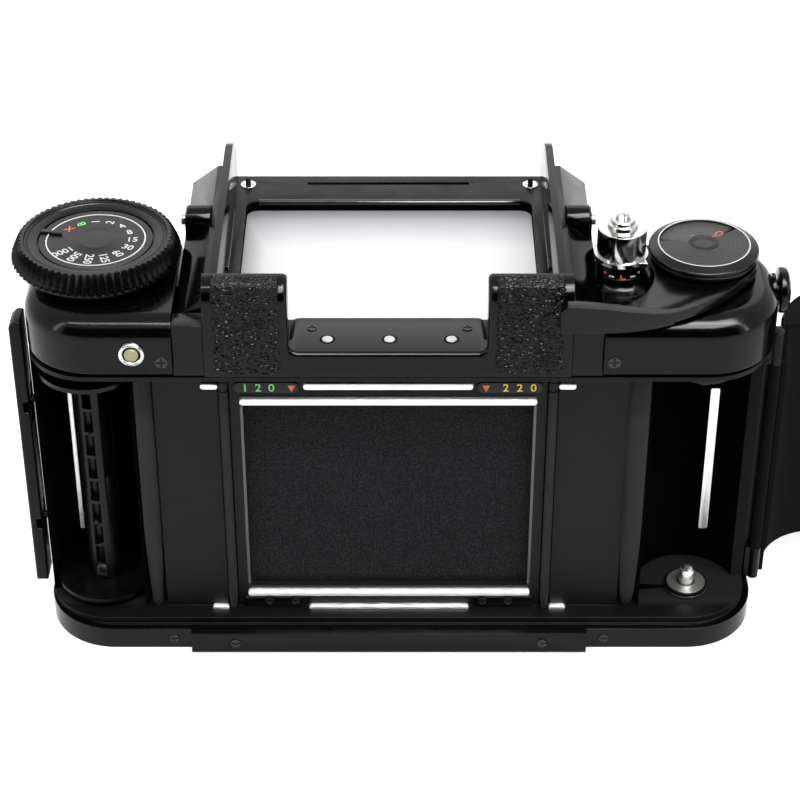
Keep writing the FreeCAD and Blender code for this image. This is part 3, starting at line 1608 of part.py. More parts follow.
def finder_side(side, sign):
    def across(first, second):
        return sorted([first * sign, second * sign], key=float)

    fin = block(
        f"fin_{side}_wall",
        across(s.frame_half - s.fin_thickness, s.frame_half),
        (s.block_front, s.fin_front),
        (frame_top, fin_top),
    )

    def front_top(edge):
        return level(edge, fin_top) and near(edge.BoundBox.YMin, s.fin_front)

    fin = rounded(f"fin_{side}_rounded", fin, s.fin_round, front_top)
    shoulder_points = [
        (s.frame_half * sign, deck_top),
        (s.housing_half * sign, deck_top),
        (s.housing_half * sign, shoulder_edge),
        ((s.frame_half + 2) * sign, shoulder_top),
        (s.frame_half * sign, shoulder_top),
    ]
    shoulder = prism(f"shoulder_{side}", "Y", shoulder_points, (s.block_front + 0.1, s.shoulder_front))
    rear_x = across(s.block_outer + 0.1, s.housing_half)
    rear = block(
        f"shoulder_{side}_rear",
        rear_x,
        (s.shoulder_rear, s.block_front + 0.2),
        (deck_top, shoulder_step),
    )
    skirt = block(
        f"shoulder_{side}_skirt",
        rear_x,
        (s.shoulder_rear, s.body_rear + deck_inset - 0.1),
        (block_bottom, deck_top + 1),
    )
    lug_span = across(s.frame_half + 2, s.housing_half - 0.4)
    lug = fused(
        f"pin_lug_{side}",
        block(f"pin_lug_{side}_foot", lug_span, (pin_y - 3.5, pin_y + 3.5), (shoulder_edge - 1, pin_z)),
        rod(f"pin_lug_{side}_top", "X", (pin_y, pin_z), 3.5, lug_span),
    )
    lug_cap = block(f"pin_lug_{side}_cap", lug_span, (pin_y - 5, pin_y + 5), (pin_z + 2.3, pin_z + 6))
    bore = rod(
        f"pin_bore_{side}",
        "X",
        (pin_y, pin_z),
        pin_radius + s.running,
        across(s.frame_half + 2.2, s.housing_half + 5),
    )
    return cut(f"side_{side}_cut", fused(f"side_{side}_solid", fin, shoulder, rear, skirt, lug), lug_cap, bore)


sides = [("left", -1), ("right", 1)]
sub_part("finder_sides", grouped("finder_side_group", *[finder_side(*side) for side in sides]))
for side, sign in sides:
    ends = sorted([(s.frame_half + 2.2 + pin_travel + 0.3) * sign, pin_face * sign], key=float)
    sub_part(f"finder_pin_{side}", rod(f"pin_{side}_solid", "X", (pin_y, pin_z), pin_radius, ends))


# Rear blocks with their leather, and the contact ledge between them

def rear_block(side, sign, grown, low):
    """The outline of a rear block, drawn from the side and padded across."""
    inset = 1.8 if grown else 0
    ends = sorted([(s.block_inner + inset) * sign, (s.block_outer - inset - 0.4 * bool(grown)) * sign], key=float)
    rear = s.body_rear - grown
    top = block_top + grown
    name = f"block_{side}_{'skin' if grown else 'body'}"
    solid = block(name, ends, (rear, s.block_front), (low, top))

    def rear_top(edge):
        return level(edge, top) and near(edge.BoundBox.YMin, rear) and near(edge.BoundBox.YMax, rear)

    return rounded(name + "_rounded", solid, s.block_round + grown, rear_top)


block_solids = []
block_skins = []
for side, sign in sides:
    body = rear_block(side, sign, 0, deck_top)
    skirt_x = sorted([s.block_inner * sign, s.block_outer * sign], key=float)
    skirt_y = (s.body_rear, s.body_rear + deck_inset - 0.1)
    skirt = block(f"block_{side}_skirt", skirt_x, skirt_y, (block_bottom, deck_top + 1))
    block_solids.append(fused(f"block_{side}_whole", body, skirt))
    skin = rear_block(side, sign, s.block_leather, seam_height)
    inner = rounded(
        f"block_{side}_core_rounded",
        block(f"block_{side}_core", skirt_x, (s.body_rear, s.block_front + 1), (seam_height - 1, block_top)),
        s.block_round,
        lambda edge: level(edge, block_top)
        and near(edge.BoundBox.YMin, s.body_rear)
        and near(edge.BoundBox.YMax, s.body_rear),
    )
    skin_front = block(
        f"block_{side}_skin_front",
        (-FAR, FAR),
        (s.block_front - 0.4, FAR),
        (0, FAR),
    )
    block_skins.append(cut(f"block_{side}_skin_cut", skin, inner, skin_front))
sub_part("rear_blocks", grouped("rear_block_group", *block_solids))
sub_part("body_leather", grouped("leather_group", leather_skins, *block_skins))


def contact_ledge():
    half = s.block_inner - 0.2
    rear = s.body_rear + 0.4
    body = fused(
        "ledge_solid",
        block("ledge_top", (-half, half), (s.body_rear + 2.5, s.ledge_front), (frame_top, ledge_top)),
        block("ledge_body", (-half, half), (rear, frame_rear - 0.2), (deck_top, frame_top)),
        block(
            "ledge_skirt",
            (-half, half),
            (rear, s.body_rear + deck_inset - 0.1),
            (block_bottom, deck_top + 1),
        ),
    )
    seats = [screw_seat(name + "_seat", *place, **small_fit) for name, *place in ledge_places]
    holes = []
    for number in (-1, 0, 1):
        centre = (contact_x + s.contact_pitch * number, contact_y)
        holes.append(rod(f"contact_hole_{number + 1}", "Z", centre, s.contact_radius, (ledge_top - 1.4, FAR)))
    return cut("ledge_cut", body, *seats, *holes)


sub_part("contact_ledge", contact_ledge())
contacts = [screw(*place, **small_fit) for place in ledge_places]
for number in (-1, 0, 1):
    centre = (contact_x + s.contact_pitch * number, contact_y)
    span = (ledge_top - 1.4, ledge_top + 0.4)
    contacts.append(rod(f"contact_{number + 1}", "Z", centre, s.contact_radius, span))
sub_part("contact_pins", grouped("contact_group", *contacts))


# Leaf springs: two in the film chambers, two on the side walls of the finder well

def finder_spring(side, sign):
    wall = (s.frame_half - s.fin_thickness) * sign
    leaf = s.finder_leaf * sign
    bow = s.finder_bow * sign
    rear = s.finder_spring_rear
    front = s.finder_spring_front
    foot = s.finder_spring_foot
    slope = foot + s.finder_spring_slope
    points = [
        (wall, rear),
        (wall, rear + foot),
        (wall - bow + leaf, rear + slope),
        (wall - bow + leaf, front - slope),
        (wall, front - foot),
        (wall, front),
        (wall - leaf, front),
        (wall - leaf, front - foot + s.finder_leaf),
        (wall - bow, front - slope + s.finder_leaf),
        (wall - bow, rear + slope - s.finder_leaf),
        (wall - leaf, rear + foot - s.finder_leaf),
        (wall - leaf, rear),
    ]
    low = frame_top + s.finder_spring_lift
    return prism(f"finder_spring_{side}", "Z", points, (low, low + s.finder_spring_width))


finder_leaves = [finder_spring(*side) for side in sides]
sub_part("leaf_springs", grouped("spring_group", *springs, *finder_leaves))


# Hinge leaf on the right side of the casting

hinge_centre = (s.hinge_x, s.hinge_y)
knuckle = 9.3
hinge_low = door_bottom + 0.1
hinge_high = door_top - 0.5
knuckle_spans = [(hinge_low, hinge_low + knuckle), (hinge_high - knuckle, hinge_high)]
door_barrel = (hinge_low + knuckle + 0.2, hinge_high - knuckle - 0.2)
leaf_face = s.casting_right + 1.2


def hinge_leaf():
    pieces = [
        block(
            "leaf_plate",
            (s.casting_right, leaf_face),
            (s.hinge_y + 1, s.casting_front - s.casting_front_corner - 0.2),
            (door_bottom + 1.5, door_top - 0.9),
        ),
        block(
            "leaf_strip",
            (leaf_face - 0.2, s.hinge_x + 1.2),
            (s.hinge_y + 1.7, s.hinge_y + 2.9),
            (door_bottom + 1.5, door_top - 0.9),
        ),
        rod("leaf_pin", "Z", hinge_centre, s.hinge_pin, (hinge_low, hinge_high)),
    ]
    for number, span in enumerate(knuckle_spans):
        pieces.append(rod(f"leaf_knuckle_{number}", "Z", hinge_centre, s.hinge_radius, span))
        web_y = (s.hinge_y - 0.6, s.hinge_y + 1.2)
        pieces.append(block(f"leaf_web_{number}", (leaf_face - 0.7, s.hinge_x), web_y, span))
    return fused("leaf_whole", *pieces)


sub_part("hinge_leaf", hinge_leaf())


# Back door: built shut, then swung open on its hinge

door_rear = s.casting_rear - s.door_gap - s.door_skin
post_x = 33.0
post_z = 27.0
hook_heights = (s.latch_notch - 3.5, s.latch_notch - 3.5 - s.latch_pitch)
hook_arm = (s.latch_inner + 0.2, s.latch_inner + 1.0)
hook_end = s.latch_rear + 3.8


def door_outline(name, inner, outer, z):
    ring = cut(
        name + "_ring",
        casting_plan(name + "_outer", outer, z),
        casting_plan(name + "_inner", inner, (z[0] - 1, z[1] + 1)),
    )
    keep = grouped(
        name + "_keep",
        block(name + "_keep_left", (-FAR, s.take_x), (-FAR, s.door_left), (0, FAR)),
        block(name + "_keep_right", (s.take_x, FAR), (-FAR, s.hinge_y), (0, FAR)),
    )
    halves = [common(f"{name}_half_{number}", ring, piece) for number, piece in enumerate(keep.Links)]
    return fused(name, *halves)


def door_shell():
    skin_high = s.door_gap + s.door_skin
    skin = door_outline("door_skin", s.door_gap, skin_high, (door_bottom, door_top))
    flange_low = s.lip_high + s.lip_thickness + 0.3
    rim = door_outline("door_rim", -s.groove_depth + 0.3, s.door_gap + 0.1, (flange_low, door_top))
    pieces = [skin, rim, rod("door_barrel", "Z", hinge_centre, s.hinge_radius, door_barrel)]
    web_y = (s.hinge_y - 1.4, s.hinge_y - 0.3)
    pieces.append(block("door_web", (s.casting_right + s.door_gap, s.hinge_x), web_y, door_barrel))
    for number, z in enumerate(hook_heights):
        span = (z, z + 2)
        pieces.append(block(f"hook_arm_{number}", hook_arm, (s.door_left - 1, hook_end), span))
        nose_x = (s.latch_inner - 1.3, hook_arm[0])
        pieces.append(block(f"hook_nose_{number}", nose_x, (hook_end - 1.6, hook_end), span))
    for number, (x, z) in enumerate(((-1, -1), (-1, 1), (1, -1), (1, 1))):
        centre = (post_x * x, axis_height + post_z * z)
        head = s.film_plane - s.plate_gap - 0.5
        pieces.append(rod(f"post_{number}", "Y", centre, 1.5, (door_rear + 0.4, head)))
        pieces.append(rod(f"post_head_{number}", "Y", centre, 2.5, (head - 0.4, head)))
    solid = fused("door_solid", *pieces)
    clear_y = (s.hinge_y - 2.2, FAR)
    tools = [
        rod("door_pin_bore", "Z", hinge_centre, s.hinge_pin + 0.08, (0, FAR)),
        block("door_clear_low", (s.take_x, FAR), clear_y, (0, door_barrel[0])),
        block("door_clear_high", (s.take_x, FAR), clear_y, (door_barrel[1], FAR)),
    ]
    return cut("door_cut", solid, *tools)


def pressure_plate():
    rear = s.film_plane - s.plate_gap - s.plate_thickness
    front = s.film_plane - s.plate_gap
    z = (axis_height - s.plate_reach, axis_height + s.plate_reach)
    plate = block("plate_slab", (-s.plate_half, s.plate_half), (rear, front), z)
    holes = []
    for number, (x, z) in enumerate(((-1, -1), (-1, 1), (1, -1), (1, 1))):
        centre = (post_x * x, axis_height + post_z * z)
        head = s.film_plane - s.plate_gap - 0.5
        holes.append(rod(f"plate_hole_{number}", "Y", centre, 1.7, (rear - 1, front + 1)))
        holes.append(rod(f"plate_sink_{number}", "Y", centre, 2.8, (head - 0.4, front + 1)))
    return cut("plate_cut", plate, *holes)


def door_cover():
    low = door_bottom + 2.5
    high = door_top - 1.9
    skin_high = s.door_gap + s.door_skin
    skin = door_outline("door_hide", skin_high, skin_high + s.door_leather, (low, high))
    keep = block("door_hide_keep", (-FAR, FAR), (-FAR, s.door_left - 1.6), (0, FAR))
    return common("door_hide_cut", skin, keep)


swing = FreeCAD.Rotation(FreeCAD.Vector(0, 0, 1), float(s.door_angle))
hinge_point = FreeCAD.Vector(float(s.hinge_x), float(s.hinge_y), 0)
open_place = FreeCAD.Placement(hinge_point - swing.multVec(hinge_point), swing)
for label, piece in (
    ("door_shell", door_shell()),
    ("pressure_plate", pressure_plate()),
    ("door_leather", door_cover()),
):
    piece.Placement = open_place
    sub_part(label, piece)


# Door latch: a sliding bar on the left side of the casting and its guides

def latch_bar():
    outer = s.latch_inner - s.latch_thickness
    front = s.latch_rear + s.latch_depth
    bar = block("latch_slab", (outer, s.latch_inner), (s.latch_rear, front), (s.latch_bottom, latch_top))

    def top_edge(edge):
        return level(edge, latch_top) and edge.BoundBox.XMax < float(outer) + TINY

    bar = slanted("latch_bevelled", bar, 1.4, top_edge)
    depth = (s.latch_inner - 1.5, s.latch_inner + 1)
    tools = []
    for number in range(2):
        notch_low = s.latch_notch - s.latch_pitch * number
        rear_y = (s.latch_rear - 1, s.latch_rear + 4)
        pocket_y = (s.latch_rear + 1.8, s.latch_rear + 4)
        slot_y = (s.latch_rear + 4 - 0.1, s.latch_rear + 6.3)
        tools.append(block(f"latch_channel_{number}", depth, rear_y, (notch_low, notch_low + 3)))
        tools.append(block(f"latch_pocket_{number}", depth, pocket_y, (notch_low - s.latch_travel, notch_low + 3)))
        slot_z = (notch_low - 0.2, notch_low + 2.3 + s.latch_travel)
        tools.append(block(f"latch_slot_{number}", depth, slot_y, slot_z))
    return cut("latch_cut", bar, *tools)


sub_part("latch_bar", latch_bar())
guide_y = s.latch_rear + 5.2
guides = []
for number in range(2):
    guide_z = s.latch_notch - s.latch_pitch * number + 1.0
    span = (s.latch_inner - 1.1, s.casting_left)
    guides.append(rod(f"latch_guide_{number}", "X", (guide_y, guide_z), 1.0, span))
sub_part("latch_guides", grouped("latch_guide_group", *guides))


# Checks, then one STEP file for each sub-part

doc.recompute()
for item in doc.Objects:
    faults = [state for state in item.State if state in ("Invalid", "Error")]
    if faults:
        raise RuntimeError(f"{item.Name}: {', '.join(faults)}")
os.makedirs("parts", exist_ok=True)
for label, solid in parts.items():
    if solid.Shape.isNull() or not solid.Shape.isValid():
        raise RuntimeError(f"{label} has no valid shape")
for label, solid in parts.items():
    solid.Shape.exportStep(f"parts/{label}.step")
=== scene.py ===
import json
import math
from contextlib import contextmanager

import bmesh
import bpy
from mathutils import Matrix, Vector

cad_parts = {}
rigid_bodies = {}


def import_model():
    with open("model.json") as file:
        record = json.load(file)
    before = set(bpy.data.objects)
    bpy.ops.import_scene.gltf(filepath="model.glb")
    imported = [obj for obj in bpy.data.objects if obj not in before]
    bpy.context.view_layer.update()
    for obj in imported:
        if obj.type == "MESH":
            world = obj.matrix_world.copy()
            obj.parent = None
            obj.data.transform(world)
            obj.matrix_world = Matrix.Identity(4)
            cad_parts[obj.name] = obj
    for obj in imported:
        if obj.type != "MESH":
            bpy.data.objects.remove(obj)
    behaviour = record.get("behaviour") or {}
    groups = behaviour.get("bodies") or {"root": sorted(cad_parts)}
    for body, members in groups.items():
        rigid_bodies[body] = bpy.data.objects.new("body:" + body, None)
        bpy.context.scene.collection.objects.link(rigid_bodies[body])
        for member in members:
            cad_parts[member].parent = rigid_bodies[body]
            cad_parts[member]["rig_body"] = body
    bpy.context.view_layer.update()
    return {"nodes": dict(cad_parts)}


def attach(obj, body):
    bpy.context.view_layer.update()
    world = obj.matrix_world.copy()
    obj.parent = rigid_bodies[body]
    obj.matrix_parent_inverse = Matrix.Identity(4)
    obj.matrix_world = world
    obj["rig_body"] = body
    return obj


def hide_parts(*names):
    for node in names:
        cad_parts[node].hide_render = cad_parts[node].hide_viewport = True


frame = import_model()
nodes = frame["nodes"]
MM = 0.001
WELD = 0.000002
SIDES = (("left", -1), ("right", 1))


# Small helpers for modelling as by hand

def deselect():
    if bpy.context.mode != "OBJECT":
        bpy.ops.object.mode_set(mode="OBJECT")
    bpy.ops.object.select_all(action="DESELECT")


def named(name):
    piece = bpy.context.active_object
    piece.name = name
    piece.data.name = name
    return piece


def only(piece):
    deselect()
    piece.select_set(True)
    bpy.context.view_layer.objects.active = piece


@contextmanager
def editing(piece):
    """Edit mode on one piece, for the lines that stand inside."""
    only(piece)
    bpy.ops.object.mode_set(mode="EDIT")
    yield
    bpy.ops.object.mode_set(mode="OBJECT")


def metres(*lengths):
    return [length * MM for length in lengths]


def freeze():
    """Puts the active piece's place, turn and scale into its mesh."""
    bpy.ops.object.transform_apply(location=True, rotation=True, scale=True)


def choose(piece, test, kind="VERT"):
    """In edit mode, selects only the vertices, edges or faces that pass a test of their middle in mm."""
    bpy.ops.mesh.select_mode(type=kind)
    bpy.ops.mesh.select_all(action="DESELECT")
    mesh = bmesh.from_edit_mesh(piece.data)
    for element in {"VERT": mesh.verts, "EDGE": mesh.edges, "FACE": mesh.faces}[kind]:
        if kind == "VERT":
            middle = element.co
        elif kind == "EDGE":
            middle = (element.verts[0].co + element.verts[1].co) / 2
        else:
            middle = element.calc_center_median()
        if test(*[value / MM for value in middle]):
            element.select_set(True)
    mesh.select_flush_mode()
    bmesh.update_edit_mesh(piece.data)


def outward(piece):
    """Turns all faces outwards after a spin, extrusion or mirror."""
    with editing(piece):
        bpy.ops.mesh.select_all(action="SELECT")
        bpy.ops.mesh.remove_doubles(threshold=WELD)
        bpy.ops.mesh.normals_make_consistent(inside=False)


def settle(piece, degrees):
    """Puts a piece's place into its mesh and shades it."""
    only(piece)
    freeze()
    bpy.ops.object.shade_smooth_by_angle(angle=math.radians(degrees))


def dress(piece, material, body="camera", slot=None, replaces=()):
    """Gives a finished piece its material, its body and the nodes that it stands for."""
    piece.data.materials.clear()
    piece.data.materials.append(material)
    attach(piece, body)
    if replaces:
        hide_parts(*replaces)
    return piece


def around(centre, reach, degrees):
    """A point at a distance and an angle from a centre, all in mm."""
    angle = math.radians(degrees)
    return centre[0] + reach * math.cos(angle), centre[1] + reach * math.sin(angle)


def finish(piece, *looks, smooth=32, **place):
    settle(piece, smooth)
    return dress(piece, *looks, **place)


def lathe(name, centre, rings, count=96):
    """Turns a profile of (radius, height) rings in mm by extruding a circle ring by ring.

    A profile that ends where it starts makes a ring; any other is closed at both ends.
    """
    deselect()
    first_radius, first_height = rings[0]
    place = metres(*centre, first_height)
    is_ring = rings[0] == rings[-1]
    bpy.ops.mesh.primitive_circle_add(
        vertices=count, radius=first_radius * MM, fill_type="NOTHING", location=place
    )
    piece = named(name)
    freeze()
    bpy.ops.object.mode_set(mode="EDIT")
    bpy.ops.mesh.select_mode(type="VERT")
    bpy.ops.mesh.select_all(action="SELECT")
    if not is_ring:
        bpy.ops.mesh.edge_face_add()
    radius = first_radius
    height = first_height
    for next_radius, next_height in rings[1:]:
        rise = (0, 0, (next_height - height) * MM)
        bpy.ops.mesh.extrude_region_move(TRANSFORM_OT_translate={"value": rise})
        if next_radius != radius:
            ratio = next_radius / radius
            pivot = metres(*centre, next_height)
            bpy.ops.transform.resize(value=(ratio, ratio, 1), center_override=pivot)
        radius = next_radius
        height = next_height
    if not is_ring:
        bpy.ops.mesh.edge_face_add()
    bpy.ops.object.mode_set(mode="OBJECT")
    outward(piece)
    return piece


def flat_ring(name, centre, radii, heights):
    """A ring of rectangular section."""
    (inner, outer), (low, high) = radii, heights
    return lathe(name, centre, [(inner, low), (outer, low), (outer, high), (inner, high), (inner, low)])


def copy_of(node, name):
    """A loose copy of a CAD node with its triangles merged, to be shaped further."""
    source = nodes[node]
    only(source)
    bpy.ops.object.duplicate()
    piece = bpy.context.active_object
    piece.name = name
    piece.data.name = name
    for key in list(piece.keys()):
        del piece[key]
    world = piece.matrix_world.copy()
    piece.parent = None
    piece.matrix_world = world
    with editing(piece):
        bpy.ops.mesh.select_all(action="SELECT")
        bpy.ops.mesh.remove_doubles(threshold=WELD)
        bpy.ops.mesh.dissolve_limited(angle_limit=math.radians(0.5))
    return piece


def round_edges(piece, width, segments=2, angle=34):
    """Rounds the sharp edges of a piece by a bevel."""
    only(piece)
    bevel = piece.modifiers.new("edge_bevel", "BEVEL")
    bevel.width = width * MM
    bevel.segments = segments
    bevel.limit_method = "ANGLE"
    bevel.angle_limit = math.radians(angle)
    bevel.use_clamp_overlap = True
    bpy.ops.object.modifier_apply(modifier="edge_bevel")
    settle(piece, 30)


def softened(node, width, segments=2, angle=34):
    """A copy of a CAD node with rounded edges takes the node's place."""
    piece = copy_of(node, node + "_soft")
    round_edges(piece, width, segments, angle)
    dress(piece, material_of[node], nodes[node]["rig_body"], replaces=[node])
    return piece


def block(name, spans):
    """A plain cube set to its size, to be shaped further."""
    deselect()
    bpy.ops.mesh.primitive_cube_add(size=1, location=metres(*[(low + high) / 2 for low, high in spans]))
    piece = named(name)
    piece.scale = metres(*[high - low for low, high in spans])
    freeze()
    return piece


def bevelled(piece, test, radius, segments):
    """Rounds the chosen edges of a piece by a radius in mm."""
    with editing(piece):
        choose(piece, test, "EDGE")
        bpy.ops.mesh.bevel(offset=radius * MM, segments=segments, affect="EDGES")


def bar(name, x, y, z, corner, edge, along="Y"):
    """A bar whose four corners, seen along an axis, are rounded, with its front edges eased."""
    spans = (x, y, z)
    piece = block(name, spans)
    others = [number for number in range(3) if number != "XYZ".index(along)]

    def at_corner(*middle):
        return all(min(abs(middle[number] - end) for end in spans[number]) < 0.001 for number in others)

    bevelled(piece, at_corner, corner, 6)
    round_edges(piece, edge, 2, 50)
    return piece


def pulled(piece, test, move):
    """Extrudes the chosen faces of a piece by a distance in mm."""
    with editing(piece):
        choose(piece, test, "FACE")
        bpy.ops.mesh.extrude_region_move(TRANSFORM_OT_translate={"value": metres(*move)})


def turned(piece, degrees, axis, centre):
    """Turns all of a piece round an axis through a point in mm."""
    with editing(piece):
        bpy.ops.mesh.select_all(action="SELECT")
        angle = math.radians(degrees)
        bpy.ops.transform.rotate(value=angle, orient_axis=axis, center_override=metres(*centre))


def cut_away(piece, test, kind="VERT"):
    """Deletes the vertices or faces whose middle in mm passes a test."""
    with editing(piece):
        choose(piece, test, kind)
        bpy.ops.mesh.delete(type=kind)


def lining_of(node, name, elsewhere):
    """The faces of a CAD node that fail a test, lifted off it by a coat of paint that serves as painted
    shade.
    """
    lining = copy_of(node, name)
    cut_away(lining, elsewhere, "FACE")
    with editing(lining):
        bpy.ops.mesh.select_all(action="SELECT")
        bpy.ops.transform.shrink_fatten(value=0.03 * MM)
    return lining


def rod(name, place, radius, depth, count=64, turn=(0, 0, 0)):
    """A cylinder whose middle is at a point in mm."""
    deselect()
    bpy.ops.mesh.primitive_cylinder_add(
        vertices=count, radius=radius * MM, depth=depth * MM, location=metres(*place), rotation=turn
    )
    return named(name)


def carved(piece, *tools):
    """Cuts other solids out of a piece."""
    for tool in tools:
        only(piece)
        cut = piece.modifiers.new("cut", "BOOLEAN")
        cut.operation = "DIFFERENCE"
        cut.solver = "EXACT"
        cut.object = tool
        bpy.ops.object.modifier_apply(modifier="cut")
        bpy.data.objects.remove(tool)


def joined(name, pieces):
    """Several solids as one piece."""
    deselect()
    for piece in pieces:
        piece.select_set(True)
    bpy.context.view_layer.objects.active = pieces[0]
    bpy.ops.object.join()
    return named(name)


def lettering(name, words, height, place, turn, material, body="camera", tilt=0.0):
    """Plain raised letters of a cap height in mm, as a thin layer of paint on a surface."""
    deselect()
    slant = (math.radians(tilt), 0, math.radians(turn))
    bpy.ops.object.text_add(location=metres(*place), rotation=slant)
    piece = named(name)
    piece.data.body = words
    piece.data.size = height / 0.7 * MM
    piece.data.align_x = "CENTER"
    piece.data.align_y = "CENTER"
    piece.data.offset = 0.00004
    piece.data.extrude = 0.015 * MM
    piece.data.resolution_u = 4
    bpy.ops.object.convert(target="MESH")
    piece = named(name)
    finish(piece, material, body)
    return piece


# Materials: one small function adds a node with its settings and links

def add(material, kind, settings=None, *sources, **links):
    """A new node; the sources feed its inputs in order, the links by name."""
    tree = material.node_tree
    node = tree.nodes.new("ShaderNode" + kind)
    for name, value in (settings or {}).items():
        if hasattr(node, name):
            setattr(node, name, value)
        else:
            node.inputs[name].default_value = value
    for number, source in enumerate(sources):
        tree.links.new(source, node.inputs[number])
    for name, source in links.items():
        tree.links.new(source, node.inputs[name])
    return node


def linear(code, alpha=1.0):
    """An sRGB hex colour as Blender's linear values."""
    parts = [int(code[place:place + 2], 16) / 255 for place in (1, 3, 5)]
    values = [part / 12.92 if part <= 0.04045 else ((part + 0.055) / 1.055) ** 2.4 for part in parts]
    return (*values, alpha)


def surface(name, colour, **sockets):
    """A new material with its shader, and the shader's plain values."""
    material = bpy.data.materials.new(name)
    material.use_nodes = True
    shader = material.node_tree.nodes["Principled BSDF"]
    shader.inputs["Base Color"].default_value = linear(colour)
    for socket, value in sockets.items():
        shader.inputs[socket.replace("_", " ")].default_value = value
    return material, shader


def place_of(material, stretch=(1, 1, 1)):
    """Object coordinates, stretched where a surface has a direction."""
    coordinates = add(material, "TexCoord")
    mapping = add(material, "Mapping", {"Scale": stretch}, Vector=coordinates.outputs["Object"])
    return mapping.outputs["Vector"]


def per_mm(size):
    """A texture's scale from the size in mm of what it shows."""
    return 1 / (size * MM)


def spread(material, source, low, high):
    """Maps a pattern from 0.3..0.7 to a range."""
    settings = {"From Min": 0.3, "From Max": 0.7, "To Min": low, "To Max": high}
    return add(material, "MapRange", settings, Value=source).outputs["Result"]


def tinted(material, source, first, second, low=0.4, high=0.6):
    """Two colours mixed by a pattern."""
    ramp = add(material, "ValToRGB", None, Fac=source)
    ramp.color_ramp.elements[0].position = low
    ramp.color_ramp.elements[0].color = linear(first)
    ramp.color_ramp.elements[1].position = high
    ramp.color_ramp.elements[1].color = linear(second)
    return ramp.outputs["Color"]


def bumped(material, shader, source, height_mm, normal=None):
    settings = {"Strength": 1.0, "Distance": height_mm * MM}
    links = {"Height": source}
    if normal:
        links["Normal"] = normal
    bump = add(material, "Bump", settings, **links)
    link(material, bump.outputs["Normal"], shader, "Normal")
    return bump.outputs["Normal"]


def link(material, source, shader, socket):
    material.node_tree.links.new(source, shader.inputs[socket])


def eased(material, radius):
    """Normals that round a sharp edge over a radius in mm, as paint and plating do."""
    return add(material, "Bevel", {"samples": 4, "Radius": radius * MM}).outputs["Normal"]


def enamel(name, colour, speck, rough, gloss):
    """Sprayed and stoved black enamel: gloss, faint orange peel, fine dust and hairline scratches."""
    material, shader = surface(name, colour, Roughness=rough, Specular_IOR_Level=gloss)
    place = place_of(material)
    peel = add(material, "TexNoise", {"Scale": per_mm(1.6), "Detail": 2.0}, Vector=place)
    bumped(material, shader, peel.outputs["Fac"], 0.006, eased(material, 0.35))
    smear = add(material, "TexNoise", {"Scale": per_mm(9), "Detail": 6.0, "Roughness": 0.7}, Vector=place)
    link(material, spread(material, smear.outputs["Fac"], rough * 0.8, rough * 1.5), shader, "Roughness")
    dust = add(material, "TexNoise", {"Scale": per_mm(0.16), "Detail": 1.0}, Vector=place)
    link(material, tinted(material, dust.outputs["Fac"], colour, speck, 0.72, 0.8), shader, "Base Color")
    return material


def painted_casting(name, colour, lighter, rough, gloss, grain=0.35):
    """Matt black paint on a die casting: dry, fine grained, darker and duller deep in the film chambers."""
    material, shader = surface(name, colour, Roughness=rough, Specular_IOR_Level=gloss)
    place = place_of(material)
    skin = add(material, "TexNoise", {"Scale": per_mm(grain), "Detail": 3.0}, Vector=place)
    bumped(material, shader, skin.outputs["Fac"], 0.012, eased(material, 0.25))
    patch = add(material, "TexNoise", {"Scale": per_mm(14), "Detail": 4.0}, Vector=place)
    parts = add(material, "SeparateXYZ", Vector=add(material, "TexCoord").outputs["Object"])
    depth = {"From Min": -34 * MM, "From Max": -30 * MM, "To Min": rough, "To Max": 1.0}
    deep = add(material, "MapRange", depth, Value=parts.outputs["Y"])
    link(material, tinted(material, patch.outputs["Fac"], colour, lighter, 0.35, 0.75), shader, "Base Color")
    link(material, deep.outputs["Result"], shader, "Roughness")
    return material


def metal(name, colour, rough, stretch, pattern_mm, detail, height_mm, round_mm, gloss_range):
    """Bare metal whose fine pattern stands out a little and makes its gloss uneven."""
    material, shader = surface(name, colour, Metallic=1.0, Roughness=rough)
    place = place_of(material, stretch)
    pattern = add(material, "TexNoise", {"Scale": per_mm(pattern_mm), "Detail": detail}, Vector=place)
    bumped(material, shader, pattern.outputs["Fac"], height_mm, eased(material, round_mm))
    low, high = gloss_range
    link(material, spread(material, pattern.outputs["Fac"], rough * low, rough * high), shader, "Roughness")
    return material


def brushed(name, colour, rough, stretch):
    """Rolled or ground metal: fine lines along one way, which blur its reflections across them."""
    return metal(name, colour, rough, stretch, 0.12, 2.0, 0.003, 0.15, (0.7, 1.5))


def plated(name, colour, rough):
    """Chrome plate over turned brass: mirror bright with a little haze."""
    return metal(name, colour, rough, (1, 1, 1), 3.0, 4.0, 0.002, 0.2, (0.6, 2.2))


